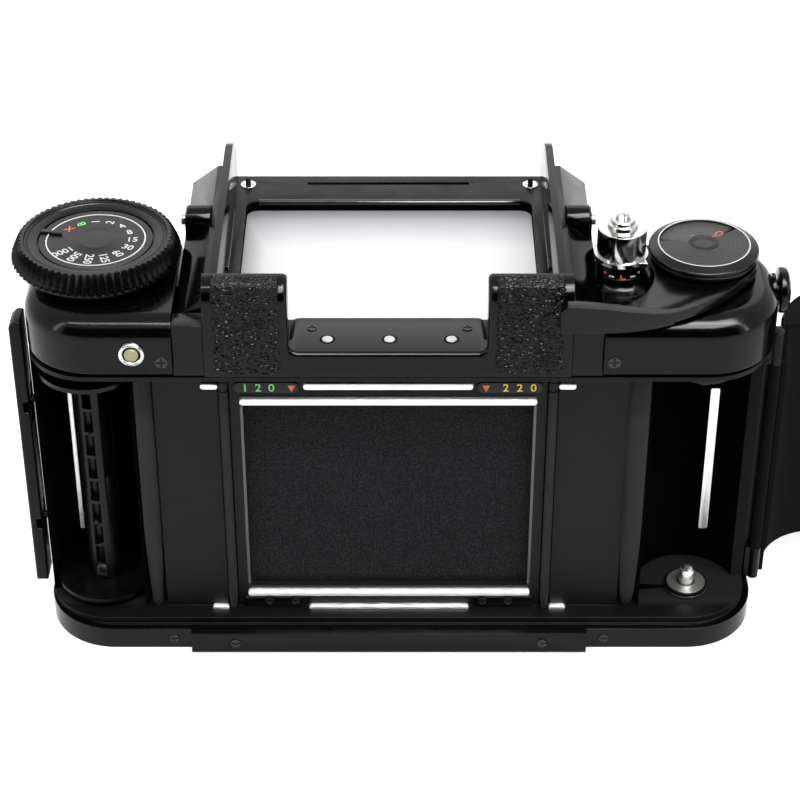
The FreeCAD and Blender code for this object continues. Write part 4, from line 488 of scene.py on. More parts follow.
def leatherette():
    """Pressed vinyl leather: wrinkled pebbles about 1 mm wide with gloss on their tops."""
    material, shader = surface("leatherette_pressed", "#030304", Roughness=0.2, Specular_IOR_Level=0.18)
    place = place_of(material)
    drift = add(material, "TexNoise", {"Scale": per_mm(2.2), "Detail": 3.0}, Vector=place)
    moved = add(material, "VectorMath", {"operation": "MULTIPLY_ADD"}, drift.outputs["Color"])
    moved.inputs[1].default_value = (0.0014, 0.0006, 0.0014)
    link(material, place, moved, 2)
    flat = add(material, "Mapping", {"Scale": (0.75, 1.25, 1.25)}, Vector=moved.outputs["Vector"])
    cells = {"feature": "F1", "Scale": per_mm(1.35), "Randomness": 1.0}
    pebbles = add(material, "TexVoronoi", cells, Vector=flat.outputs["Vector"])
    creases = add(material, "TexNoise", {"Scale": per_mm(0.9), "Detail": 4.0}, Vector=flat.outputs["Vector"])
    first = bumped(material, shader, creases.outputs["Fac"], 0.25)
    raised = add(material, "Math", {"operation": "SUBTRACT"})
    raised.inputs[0].default_value = 1.0
    link(material, pebbles.outputs["Distance"], raised, 1)
    bumped(material, shader, raised.outputs["Value"], 0.25, first)
    link(material, spread(material, creases.outputs["Fac"], 0.15, 0.26), shader, "Roughness")
    return material


def curtain_cloth():
    """Rubberised silk of the shutter curtain: dull black with a fine plain weave, drawn coarse to show."""
    material, shader = surface("silk_rubberised", "#18181a", Roughness=0.8, Specular_IOR_Level=0.08)
    place = place_of(material)
    threads = []
    for way in ("X", "Z"):
        bands = {"wave_type": "BANDS", "bands_direction": way, "Scale": per_mm(2.6), "Distortion": 0.4}
        threads.append(add(material, "TexWave", bands, Vector=place).outputs["Fac"])
    weave = add(material, "Math", {"operation": "MULTIPLY"}, *threads)
    bumped(material, shader, weave.outputs["Value"], 0.03)
    fleck = add(material, "TexNoise", {"Scale": per_mm(0.5), "Detail": 2.0}, Vector=place)
    colour = tinted(material, fleck.outputs["Fac"], "#171719", "#303033", 0.4, 0.72)
    link(material, colour, shader, "Base Color")
    return material


def moulded(name, colour, lighter, rough, gloss=0.5):
    """Injection moulded plastic: even, with faint flow patches and a fine skin."""
    material, shader = surface(name, colour, Roughness=rough, Specular_IOR_Level=gloss)
    place = place_of(material)
    flow = add(material, "TexNoise", {"Scale": per_mm(6.0), "Detail": 3.0}, Vector=place)
    link(material, tinted(material, flow.outputs["Fac"], colour, lighter, 0.35, 0.7), shader, "Base Color")
    skin = add(material, "TexNoise", {"Scale": per_mm(0.5), "Detail": 1.0}, Vector=place)
    bumped(material, shader, skin.outputs["Fac"], 0.006)
    link(material, spread(material, flow.outputs["Fac"], rough * 0.85, rough * 1.2), shader, "Roughness")
    return material


def anodised_black(name, rough, gloss, wear):
    """Black anodised aluminium: satin, rubbed bare in small specks where fingers turn it."""
    material, shader = surface(name, "#08080a", Roughness=rough, Specular_IOR_Level=gloss)
    place = place_of(material)
    grain = add(material, "TexNoise", {"Scale": per_mm(0.35), "Detail": 3.0}, Vector=place)
    bumped(material, shader, grain.outputs["Fac"], 0.006, eased(material, 0.12))
    rub = add(material, "TexNoise", {"Scale": per_mm(0.5), "Detail": 4.0, "Roughness": 0.7}, Vector=place)
    link(material, tinted(material, rub.outputs["Fac"], "#08080a", wear, 0.66, 0.74), shader, "Base Color")
    link(material, spread(material, grain.outputs["Fac"], rough * 0.85, rough * 1.25), shader, "Roughness")
    return material


def ringed_black():
    """Turned face of the counter: black, with fine concentric grooves 1 mm apart, bumped, whose crests are
    painted lighter as a painted highlight.
    """
    material, shader = surface("aluminium_turned_black", "#070708", Roughness=0.24, Specular_IOR_Level=0.26)
    coordinates = add(material, "TexCoord")
    to_centre = {"Location": (-75 * MM, 17 * MM, 0)}
    centred = add(material, "Mapping", to_centre, Vector=coordinates.outputs["Object"])
    waves_per_metre = 2 * math.pi / 20 / (1.0 * MM)
    rings = {"wave_type": "RINGS", "rings_direction": "Z", "Scale": waves_per_metre}
    grooves = add(material, "TexWave", rings, Vector=centred.outputs["Vector"])
    parts = add(material, "SeparateXYZ", Vector=coordinates.outputs["Object"])
    face = {"From Min": 105.46 * MM, "From Max": 105.49 * MM}
    on_face = add(material, "MapRange", face, Value=parts.outputs["Z"]).outputs["Result"]
    kept = add(material, "Math", {"operation": "MULTIPLY"}, grooves.outputs["Fac"], on_face)
    sharp = add(material, "MapRange", {"From Min": 0.75, "From Max": 1.0}, Value=kept.outputs["Value"])
    bumped(material, shader, sharp.outputs["Result"], 0.05, eased(material, 0.3))
    # Painted highlight: the groove crests on the face are coloured lighter grey.
    colour = tinted(material, sharp.outputs["Result"], "#070708", "#2e2e30", 0.2, 0.9)
    link(material, colour, shader, "Base Color")
    return material


def paint(name, colour):
    """Enamel paint filled into engraved marks: flat, slightly uneven colour."""
    material, shader = surface(name, colour, Roughness=0.45)
    place = place_of(material)
    uneven = add(material, "TexNoise", {"Scale": per_mm(0.5), "Detail": 3.0}, Vector=place)
    link(material, spread(material, uneven.outputs["Fac"], 0.35, 0.6), shader, "Roughness")
    return material


def clear_window():
    """Smoky acrylic of the counter window: thin enough to read through, with a gloss over it."""
    material, shader = surface("acrylic_smoky", "#8c8c8c", Roughness=0.05, IOR=1.49, Alpha=0.17)
    place = place_of(material)
    haze = add(material, "TexNoise", {"Scale": per_mm(2.5), "Detail": 3.0}, Vector=place)
    link(material, spread(material, haze.outputs["Fac"], 0.03, 0.12), shader, "Roughness")
    return material


def ground_screen():
    """Ground acrylic of the focusing screen: milky white, with painted shade that darkens it along its far
    and left edges.
    """
    material, shader = surface("acrylic_ground", "#fbfcfd", Roughness=0.5)
    place = place_of(material)
    grain = add(material, "TexNoise", {"Scale": per_mm(0.3), "Detail": 1.0}, Vector=place)
    bumped(material, shader, grain.outputs["Fac"], 0.01)
    parts = add(material, "SeparateXYZ", Vector=add(material, "TexCoord").outputs["Object"])
    far = add(material, "MapRange", {"From Min": 14 * MM, "From Max": 33 * MM}, Value=parts.outputs["Y"])
    left = add(material, "MapRange", {"From Min": -31 * MM, "From Max": -38 * MM}, Value=parts.outputs["X"])
    # Painted shade: the colour runs darker towards the screen's far and left edges.
    shade = add(material, "Math", {"operation": "MAXIMUM"}, far.outputs["Result"], left.outputs["Result"])
    colour = tinted(material, shade.outputs["Value"], "#fdfdfe", "#a2a4a8", 0.0, 1.0)
    link(material, colour, shader, "Base Color")
    return material


def silvered():
    """Front silvered mirror."""
    material, shader = surface("glass_silvered", "#dfe4e6", Metallic=1.0, Roughness=0.02)
    return material


gloss_black = enamel("enamel_black_stoved", "#040405", "#3c3c3b", 0.13, 0.17)
rim_black = enamel("enamel_black_rim", "#040405", "#3c3c3b", 0.1, 0.6)
satin_black = enamel("enamel_black_satin", "#060607", "#2a2a2a", 0.3, 0.14)
lever_black = enamel("enamel_black_lever", "#060607", "#3c3c3b", 0.2, 0.2)
casting_black = painted_casting("paint_black_casting", "#080809", "#0e0e0f", 0.42, 0.16)
matt_black = painted_casting("paint_black_matt", "#050505", "#090909", 0.6, 0.1)
# Matt flock paint, near black with no gloss, that also serves as painted shade in the film chambers, the
# frame's window and round the contacts.
flock_and_shade_black = painted_casting("paint_black_flock_and_shade", "#020202", "#040404", 0.9, 0.02)
screw_black = brushed("steel_blackened", "#3a3a3b", 0.3, (1, 1, 1))
steel_collar = brushed("steel_turned_collar", "#7a7a78", 0.4, (1, 1, 1))
# Light steel for the thin strips along both sides of the gate.
gate_line_steel = brushed("steel_gate_line", "#5a5a58", 0.45, (1, 1, 0.05))
chrome = plated("chrome_bright", "#d4d4d2", 0.08)
chrome_satin = plated("chrome_satin", "#e2e2e0", 0.2)
steel_long = brushed("steel_rolled_lengthwise", "#e6e6e4", 0.3, (0.05, 1, 1))
steel_upright = brushed("steel_rolled_upright", "#eeeeec", 0.38, (1, 1, 0.05))
steel_dark = brushed("steel_blued", "#2a2a2c", 0.3, (1, 1, 0.05))
brass = brushed("brass_turned", "#b8924a", 0.28, (1, 1, 0.2))
knob_black = anodised_black("aluminium_anodised_knob", 0.26, 0.2, "#4a4946")
disc_black = anodised_black("aluminium_anodised_disc", 0.4, 0.3, "#161617")
ring_black = anodised_black("aluminium_anodised_ring", 0.16, 0.24, "#0c0c0d")
counter_black = ringed_black()
leather = leatherette()
cloth = curtain_cloth()
spool_plastic = moulded("polystyrene_black_moulded", "#050506", "#0a0a0b", 0.32, 0.2)
ivory = moulded("acrylic_ivory", "#a8a37c", "#b8b391", 0.3)
white_nylon = moulded("nylon_white_moulded", "#dcdbd3", "#e8e7e1", 0.35)
paint_white = paint("paint_white_filled", "#e9e8e2")
paint_orange = paint("paint_orange_filled", "#fb7242")
paint_green = paint("paint_green_filled", "#8cf08a")
paint_yellow = paint("paint_yellow_filled", "#fbe63e")
window = clear_window()
screen = ground_screen()
nickel = plated("nickel_bright", "#bcbcba", 0.07)
steel_rail = brushed("steel_rail_ground", "#f2f2f0", 0.5, (0.05, 1, 1))
roller_rubber = moulded("rubber_roller_black", "#2a2a2b", "#303031", 0.6, 0.1)
mirror = silvered()

dressed = (
    (casting_black, "body_casting"),
    (gloss_black, "bottom_cover top_cover_left top_cover_right strap_lugs finder_sides rear_blocks "
    "contact_ledge"),
    (satin_black, "base_rail film_plates roller_thin_left roller_thin_right roller_thick_left "
    "roller_thick_right spool_bearings counter_dial mirror_housing finder_frame hinge_leaf "
    "latch_bar"),
    (screw_black, "cover_screws"),
    (leather, "body_leather door_leather"),
    (chrome, "sync_sockets spool_knob_feed spool_knob_take tripod_socket battery_cover check_bezel "
    "release_button lens_mount_ring mount_screws finder_pin_left finder_pin_right "
    "lens_release_button mirror_up_lever"),
    (steel_long, "film_rails"),
    (steel_upright, "leaf_springs battery"),
    (spool_plastic, "film_spool"),
    (steel_dark, "take_up_key curtain_drum_left curtain_drum_right latch_guides"),
    (brass, "idler_gear"),
    (cloth, "shutter_curtain"),
    (knob_black, "shutter_dial"),
    (disc_black, "dial_disc pressure_plate"),
    (ivory, "check_button"),
    (lever_black, "wind_lever"),
    (counter_black, "counter_housing"),
    (window, "counter_window"),
    (nickel, "lock_collar"),
    (screen, "focusing_screen"),
    (white_nylon, "contact_pins"),
    (matt_black, "mirror_holder door_shell"),
    (mirror, "mirror_glass"),
)
material_of = {node: material for material, names in dressed for node in names.split()}
for node, material in material_of.items():
    nodes[node].data.materials.clear()
    nodes[node].data.materials.append(material)


# Speed dial: toothed knob, sunk number disc, white ring, marks and pointer

DIAL = (-69.8, -14.0)
DIAL_TEETH = 66
DIAL_TOP = 105.7
DISC_TOP = 104.55


def dial_knob():
    columns = 4 * DIAL_TEETH
    rings = [
        (3.0, 91.0), (3.0, 99.9), (18.9, 99.9), (19.5, 100.1), (19.5, 100.7), (19.2, 100.8),
        (19.15, 101.9), (17.9, 105.3), (17.6, DIAL_TOP), (17.15, DIAL_TOP), (16.9, 105.3),
        (16.5, 105.1), (16.3, 105.2), (16.1, 105.0), (14.3, 104.75), (14.0, 104.6), (14.0, 103.9),
        (3.0, 103.9),
    ]
    piece = lathe("speed_knob", DIAL, rings, columns)

    def column(x, y):
        angle = math.degrees(math.atan2(y - DIAL[1], x - DIAL[0]))
        return round(angle / 360 * columns) % 4

    def crest(low, high, numbers):
        return lambda x, y, z: (
            math.hypot(x - DIAL[0], y - DIAL[1]) > 17.5 and low < z < high and column(x, y) in numbers
        )

    centre = metres(*DIAL, 0)
    with editing(piece):
        for low, high, numbers, ratio in (
            (100.75, 100.85, (0,), 1.057),
            (101.8, 102.0, (0,), 1.058),
            (101.8, 102.0, (1, 3), 1.028),
            (105.2, 105.4, (0,), 1.048),
            (105.2, 105.4, (1, 3), 1.022),
            (105.6, 105.8, (0,), 1.038),
            (105.6, 105.8, (1, 3), 1.02),
        ):
            choose(piece, crest(low, high, numbers))
            bpy.ops.transform.resize(value=(ratio, ratio, 1), center_override=centre)
    finish(piece, knob_black, "speed_dial", replaces=["shutter_dial"], smooth=28)


def dial_numbers():
    rings = [
        (3.2, 103.95), (13.6, 103.95), (13.6, DISC_TOP - 0.1), (13.5, DISC_TOP), (12.2, DISC_TOP),
        (12.1, DISC_TOP - 0.08), (4.4, DISC_TOP - 0.08), (4.2, DISC_TOP + 0.02), (3.6, DISC_TOP + 0.06),
        (0.4, DISC_TOP + 0.1),
    ]
    plate = lathe("speed_disc", DIAL, rings)
    finish(plate, disc_black, "speed_dial", replaces=["dial_disc"])
    ring = flat_ring("speed_ring", DIAL, (11.6, 11.95), (DISC_TOP - 0.1, DISC_TOP))
    finish(ring, paint_white, "speed_dial", slot="white_plastic")
    marks = ["1", "2", "4", "8", "15", "30", "60", "125", "250", "500", "1000"]
    colours = [("X", paint_orange), ("B", paint_green)] + [(mark, paint_white) for mark in marks]
    first_angle = 143.0
    pitch = 23.83
    for number, (mark, colour) in enumerate(colours):
        angle = first_angle - pitch * number
        reach = 8.5 + 0.2 * (len(mark) - 1)
        place = (*around(DIAL, reach, angle), DISC_TOP - 0.05)
        lettering(f"speed_mark_{mark}", mark, 2.0, place, angle, colour, "speed_dial")


def dial_pointer():
    """The glossy index that reaches over the ring, at its real angle."""
    x = (DIAL[0] + 8.6, DIAL[0] + 13.9)
    y = (DIAL[1] - 0.45, DIAL[1] + 0.45)
    pointer = bar("speed_pointer", x, y, (DISC_TOP - 0.1, DISC_TOP + 0.55), 0.4, 0.2, "Z")
    with editing(pointer):
        choose(pointer, lambda x, y, z: x > DIAL[0] + 12.5)
        bpy.ops.transform.resize(value=(1, 1.9, 1), center_override=(0, DIAL[1] * MM, 0))
    turned(pointer, -165, "Z", (*DIAL, 0))
    finish(pointer, ring_black, "speed_dial", slot="black_enamel")


dial_knob()
dial_numbers()
dial_pointer()


# Battery test button: bright rounded ring, dark gap, ivory button

TEST_BUTTON = (-59.7, -41.0, 89.7)


def test_button():
    x, wall, z = TEST_BUTTON
    ring = [(3.1, -0.4), (3.1, 0.35), (2.95, 0.7), (2.65, 0.9), (2.35, 0.8), (2.1, 0.5), (2.0, -0.4)]
    cap = [(1.65, -3.0), (1.65, 0.75), (1.5, 0.95), (1.1, 1.05), (0.3, 1.08)]
    for name, rings, material, body, node in (
        ("check_ring", [*ring, ring[0]], chrome_satin, "camera", "check_bezel"),
        ("check_cap", cap, ivory, "test_button", "check_button"),
    ):
        raised = [(radius, z + height) for radius, height in rings]
        piece = lathe(name, (x, wall), raised, 64)
        turned(piece, -90, "X", TEST_BUTTON)
        finish(piece, material, body, replaces=[node])


test_button()


# Frame counter: white ring, toothed cap, and the number under the window

COUNTER = (75.0, -17.0)
COUNTER_FACE = 105.5


def counter_body():
    rings = [
        (4.0, 85.0), (4.0, 101.9), (12.3, 101.9), (12.4, 102.0), (12.4, 102.7), (13.0, 102.8),
        (13.1, 103.0), (13.1, 103.4), (12.7, 103.55), (12.7, 103.75), (13.1, 103.85), (13.1, 104.3),
        (12.9, 104.6), (11.1, 105.45), (11.0, 105.5), (10.6, 105.5), (3.6, 105.5), (0.4, 105.5),
    ]
    piece = lathe("counter_body", COUNTER, rings, 144)

    def in_window(x, y, z):
        angle = math.degrees(math.atan2(y - COUNTER[1], x - COUNTER[0])) % 360
        return z > 105.45 and 37 < angle < 176 and 4 < math.hypot(x - COUNTER[0], y - COUNTER[1]) < 10.5

    with editing(piece):
        choose(piece, in_window, "FACE")
        bpy.ops.mesh.extrude_region_move(TRANSFORM_OT_translate={"value": (0, 0, -0.7 * MM)})
        bpy.ops.mesh.delete(type="FACE")
    finish(piece, counter_black, replaces=["counter_housing"], smooth=25)


def counter_parts():
    heights = (COUNTER_FACE - 0.1, COUNTER_FACE + 0.05)
    ring = flat_ring("counter_ring", COUNTER, (10.68, 10.98), heights)
    finish(ring, paint_white, slot="white_plastic")
    rises = [(3.6, -0.1), (3.6, 0.02), (3.4, 0.1), (2.2, 0.1), (2.1, -0.05), (0.5, -0.05)]
    rings = [(radius, COUNTER_FACE + rise) for radius, rise in rises]
    cap = lathe("counter_cap", COUNTER, rings, 72)

    def in_gap(x, y, z):
        angle = math.degrees(math.atan2(y - COUNTER[1], x - COUNTER[0]))
        return math.hypot(x - COUNTER[0], y - COUNTER[1]) > 2.8 and round(angle / 5) % 3 == 0

    centre = metres(*COUNTER, 0)
    with editing(cap):
        choose(cap, in_gap)
        bpy.ops.transform.resize(value=(0.7, 0.7, 1), center_override=centre)
    finish(cap, steel_dark, slot="black_enamel")
    numbers_top = 104.32
    place = (*around(COUNTER, 7.3, 55), numbers_top)
    lettering("counter_zero", "0", 2.7, place, 55 - 90, paint_orange, "counter")
    for number, degrees in enumerate((60, 112)):
        rings = [(0.32, numbers_top - 0.02), (0.32, numbers_top + 0.02)]
        dot = lathe(f"counter_dot_{number}", around(COUNTER, 5.7, degrees), rings, 16)
        finish(dot, paint_orange, "counter", slot="white_plastic")


counter_body()
counter_parts()


# Top covers: pressed shells with a large round edge

COVER_LOW = 84.0
COVER_TOP = 98.0
COVER_ROUND = 5.5
RELEASE = (55.0, -20.7)


def cover_slab(name, inset, x, heights):
    """A slab with the plan of one cover's end, drawn in by an inset. Its first x is the outer side."""
    outer, joint = x
    side = 1 if outer > joint else -1
    outer -= inset * side
    slab = block(name, (sorted((outer, joint)), (-41.0 + inset, -1.5 - inset), heights))
    for y, radius in ((-41.0 + inset, 17.5 - inset), (-1.5 - inset, 14.0 - inset)):
        bevelled(slab, lambda px, py, pz: abs(px - outer) < 0.1 and abs(py - y) < 0.1, radius, 20)
    return slab


def top_cover(side, outer, joint, holes):
    way = 1 if outer > joint else -1
    name = f"cover_{side}_shell"
    shell = cover_slab(name, 0, (outer, joint - 8 * way), (COVER_LOW, COVER_TOP - COVER_ROUND))
    with editing(shell):
        choose(shell, lambda x, y, z: z > COVER_TOP - COVER_ROUND - 0.1, "FACE")
        steps = 8
        for step in range(steps):
            before = math.radians(90 * step / steps)
            after = math.radians(90 * (step + 1) / steps)
            inwards = COVER_ROUND * (math.cos(before) - math.cos(after))
            upwards = COVER_ROUND * (math.sin(after) - math.sin(before))
            bpy.ops.mesh.inset(thickness=inwards * MM, depth=upwards * MM)
        bpy.ops.mesh.select_all(action="SELECT")
        cut_at = (joint * MM, 0, 0)
        bpy.ops.mesh.bisect(plane_co=cut_at, plane_no=(way, 0, 0), clear_inner=True, use_fill=True)
    low_room = cover_slab("low_room", 1.6, (outer, joint - 1 * way), (COVER_LOW - 1, 91.0))
    high_room = cover_slab("high_room", 4.5, (outer, joint + 1.6 * way), (90.0, COVER_TOP - 2.0))
    drill_middle = COVER_TOP - 0.5
    drills = [
        rod(f"hole_{number}", (*centre, drill_middle), radius, 5)
        for number, (centre, radius) in enumerate(holes)
    ]
    carved(shell, low_room, high_room, *drills)
    return shell


def left_cover():
    test_hole = rod("hole_test", TEST_BUTTON, 2.0, 12)
    turned(test_hole, -90, "X", TEST_BUTTON)
    shell = top_cover("left", -86.5, -50.4, [(DIAL, 3.1)])
    carved(shell, test_hole)
    foot = lathe("dial_foot", DIAL, [(9.5, 97.9), (9.5, 99.7), (3.1, 99.7), (3.1, 97.9), (9.5, 97.9)])
    finish(joined("cover_left", [shell, foot]), gloss_black, replaces=["top_cover_left"], smooth=30)


def right_cover():
    shell = top_cover("right", 92.7, 50.4, [(COUNTER, 7.35), (RELEASE, 2.4)])
    wall = [(5.9, 97.9), (5.9, 104.0), (3.7, 104.0), (3.7, 99.5), (2.4, 99.5), (2.4, 97.9)]
    boss = lathe("release_boss", RELEASE, [*wall, wall[0]])
    finish(joined("cover_right", [shell, boss]), gloss_black, replaces=["top_cover_right"], smooth=30)


left_cover()
right_cover()


# Release: flare at the foot of the boss, and the lock marks

def release_foot():
    foot = [(9.0, 97.9), (9.0, 98.03), (7.7, 98.25), (6.8, 98.8), (6.25, 99.7), (5.98, 101.0)]
    flare = lathe("release_flare", RELEASE, [*foot, (5.8, 101.0), (5.8, 97.9), foot[0]])
    with editing(flare):
        bpy.ops.mesh.select_all(action="SELECT")
        bpy.ops.mesh.bisect(plane_co=(50.5 * MM, 0, 0), plane_no=(1, 0, 0), clear_inner=True, use_fill=True)
    finish(flare, gloss_black, slot="black_enamel")


def lock_mark(number, degrees, width, height, z, colour):
    """A small painted stroke on the round boss."""
    reach = 5.9
    x = (RELEASE[0] - width / 2, RELEASE[0] + width / 2)
    y = (RELEASE[1] - reach - 0.06, RELEASE[1] - reach + 0.3)
    corner = min(width, height) * 0.3
    mark = bar(f"lock_mark_{number}", x, y, (z - height / 2, z + height / 2), corner, 0.03)
    turned(mark, -degrees, "Z", (*RELEASE, 0))
    finish(mark, colour, slot="white_plastic")


def release_cap():
    rings = [
        (2.15, 93.0), (2.15, 104.1), (3.4, 104.3), (3.4, 112.9), (3.25, 113.1), (2.9, 113.15),
        (2.8, 113.25), (2.8, 114.1), (2.6, 114.3), (1.85, 114.3), (1.6, 114.1),
    ]
    for turn in range(5):
        level = 113.9 - 0.45 * turn
        rings += [(1.6, level), (1.42, level - 0.2)]
    rings += [(1.6, 111.6), (0.4, 111.6)]
    piece = lathe("release_cap", RELEASE, rings, 64)
    finish(piece, nickel, "release_button", replaces=["release_button"], smooth=40)


release_foot()
release_cap()
for number, (degrees, width, height, z, colour) in enumerate(
    [
        (-42, 0.6, 0.6, 102.2, paint_orange), (-25, 1.3, 0.45, 101.6, paint_white),
        (-3, 0.45, 1.3, 101.6, paint_orange), (4, 0.9, 0.45, 101.15, paint_orange),
        (25, 1.3, 0.45, 101.6, paint_white), (42, 0.6, 0.6, 102.2, paint_white),
    ]
):
    lock_mark(number, degrees, width, height, z, colour)


# Film rails and nubs with round ends, plates for the two film lengths, and their marks

FILM_PLANE = -35.0
GATE_FACE = -33.6
AXIS = 42.4


def film_bars():
    bars = []
    for name, half, offset, lower in (("inner", 35.7, 29.3, 0.45), ("outer", 20.3, 33.8, 0.9)):
        for sign in (-1, 1):
            z = AXIS + offset * sign - (lower if sign < 0 else 0)
            height = (z - 0.9, z + 0.9)
            depth = (FILM_PLANE, GATE_FACE)
            bars.append(bar(f"rail_{name}_{sign}", (-half, half), depth, height, 0.8, 0.25))
    for side in (-1, 1):
        for end in (-1, 1):
            x = 42.8 * side
            z = AXIS + 33.8 * end - (0.9 if end < 0 else 0)
            width = (x - 2.1, x + 2.1)
            height = (z - 0.8, z + 0.8)
            bars.append(bar(f"nub_{side}_{end}", width, (FILM_PLANE, GATE_FACE), height, 0.75, 0.25))
    rails = joined("rails_rounded", bars)
    dress(rails, steel_rail, replaces=["film_rails"])
    plates = []
    for side in (-1, 1):
        x = sorted((21.3 * side, 37.0 * side))
        depth = (GATE_FACE - 0.5, GATE_FACE)
        plates.append(bar(f"plate_upper_{side}", x, depth, (73.9, 76.9), 1.4, 0.12))
        plates.append(bar(f"plate_lower_{side}", x, depth, (7.9, 11.3), 1.4, 0.12))
    dress(joined("film_plates_rounded", plates), ring_black, replaces=["film_plates"])


def film_marks():
    face = GATE_FACE - 0.53
    lengths = (("120", -34.2, 3.15, paint_green), ("220", 28.1, 3.3, paint_yellow))
    for words, start, pitch, colour in lengths:
        for number, digit in enumerate(words):
            place = (start + pitch * number, face, 75.3)
            lettering(f"film_mark_{words}_{number}", digit, 2.1, place, 0, colour, tilt=90)
    for side, x in (("left", -23.1), ("right", 23.4)):
        spot = (x, face, 75.45)
        arrow = rod(f"film_arrow_{side}", spot, 1.3, 0.06, 3, (math.pi / 2, 0, 0))
        freeze()
        with editing(arrow):
            bpy.ops.mesh.select_all(action="SELECT")
            bpy.ops.transform.resize(value=(0.85, 1, -1), center_override=metres(*spot))
        outward(arrow)
        round_edges(arrow, 0.02, 1)
        dress(arrow, paint_orange, slot="white_plastic")


film_bars()
film_marks()


# Leather patches on the rear blocks, and the leather of the body's sides

def rear_casting():
    """Both blocks and the ledge between them, run into each other with round rims as in the one real part."""
    whole = block("finder_rear_casting", ((-23.2, 23.2), (-41.0, -35.0), (83.2, 89.7)))
    pulled(whole, lambda x, y, z: x > 23.1, (19.7, 0, 0))
    pulled(whole, lambda x, y, z: x < -23.1, (-19.7, 0, 0))
    pulled(whole, lambda x, y, z: z > 89.6 and abs(x) > 24, (0, 0, 18.3))
    pulled(whole, lambda x, y, z: y > -35.1 and abs(x) < 20 and z < 89, (0, 9.5, 0))
    with editing(whole):
        choose(whole, lambda x, y, z: y > -25.6 and z < 84)
        bpy.ops.transform.translate(value=(0, 0, 4.8 * MM))
    bevelled(whole, lambda x, y, z: y < -40.9 and z > 107.9, 5.5, 8)
    bevelled(whole, lambda x, y, z: abs(abs(x) - 23.2) < 0.1 and abs(z - 89.7) < 0.1, 2.2, 6)

    def on_rim(x, y, z):
        ledge_rim = abs(x) < 21 and y < -40.9 and z > 89.6
        corner = 20.9 < abs(x) < 23.3 and y < -40.9 and z > 89.6
        block_rim = abs(abs(x) - 23.2) < 0.05 and z > 91.8 and (y < -40.9 or z > 102.4)
        return ledge_rim or corner or block_rim

    bevelled(whole, on_rim, 1.2, 5)
    round_edges(whole, 0.6, 3, 50)
    dress(whole, gloss_black, replaces=["rear_blocks", "contact_ledge"])


def wrinkled(piece):
    """Presses the wrinkles of leather into a patch: an even fine mesh, moved by two patterns."""
    only(piece)
    squeeze = 0.6
    even = piece.modifiers.new("even_mesh", "REMESH")
    even.mode = "VOXEL"
    even.voxel_size = 0.2 * MM
    bpy.ops.object.modifier_apply(modifier="even_mesh")
    piece.scale = (squeeze, 1, 1)
    freeze()
    patterns = (("pebbles", "VORONOI", 0.62, -0.62), ("creases", "CLOUDS", 0.55, 0.6))
    for name, kind, size_mm, height_mm in patterns:
        pattern = bpy.data.textures.new("leather_" + name, kind)
        pattern.noise_scale = size_mm * MM
        press = piece.modifiers.new(name, "DISPLACE")
        press.texture = pattern
        press.texture_coords = "LOCAL"
        press.strength = height_mm * MM
        press.mid_level = 0.35
        bpy.ops.object.modifier_apply(modifier=name)
    piece.scale = (1 / squeeze, 1, 1)
    settle(piece, 80)


def block_patch(side, sign):
    x = sorted((25.4 * sign, 40.5 * sign))
    patch = block(f"block_patch_{side}", (x, (-41.4, -36.2), (84.0, 108.3)))
    middle = 32.9 * sign
    bevelled(patch, lambda x, y, z: y < -41.4 and z > 108.4, 6.0, 8)
    bevelled(patch, lambda x, y, z: z < 84.1 and abs(x - middle) > 7 and y > -41.4, 2.0, 5)
    bevelled(patch, lambda x, y, z: y > -35.7 and abs(x - middle) > 7 and z > 90, 2.0, 5)
    round_edges(patch, 0.3, 3, 40)
    wrinkled(patch)
    return patch


def leathers():
    front = copy_of("body_leather", "front_leather")
    cut_away(front, lambda x, y, z: y < -30 and abs(x) < 46)
    round_edges(front, 0.25, 2, 40)
    patches = [block_patch(side, sign) for side, sign in SIDES]
    dress(joined("leather_covering", [front, *patches]), leather, replaces=["body_leather"])


rear_casting()
leathers()


# Contacts in flat near-black rings of painted shade, and the two small screws beside them

def contacts():
    screws = copy_of("contact_pins", "ledge_screws")
    cut_away(screws, lambda x, y, z: y < -32.5)
    finish(screws, screw_black, replaces=["contact_pins"])
    for number in (-1, 0, 1):
        place = (0.35 + 14.6 * number, -34.8)
        # Painted shade: a flat near-black ring round each contact tip.
        shade_ring = [(1.8, 89.0), (1.8, 89.74), (1.4, 89.72), (1.4, 89.0), (1.8, 89.0)]
        rim = lathe(f"contact_rim_{number + 1}", place, shade_ring, 48)
        finish(rim, flock_and_shade_black, slot="black_casting")
        dome = [(1.3, 89.0), (1.3, 89.75), (1.15, 89.95), (0.8, 90.08), (0.3, 90.1), (0.25, 89.9)]
        tip = lathe(f"contact_tip_{number + 1}", place, dome, 48)
        finish(tip, white_nylon, slot="white_plastic")


contacts()


# Rollers with tapered ends

def thick_roller(side, x, radius):
    y = -33.1
    rings = [
        (0.7, 7.0), (0.7, 8.0), (0.9, 8.1), (1.3, 8.8), (radius - 0.8, 12.0), (radius - 0.4, 19.0),
        (radius - 0.1, 28.0), (radius, 34.0), (radius, 78.0), (radius - 0.4, 79.7), (0.7, 79.9),
        (0.7, 80.9),
    ]
    piece = lathe(f"roller_{side}_tapered", (x, y), rings, 48)
    finish(piece, roller_rubber, f"roller_thick_{side}", replaces=[f"roller_thick_{side}"])


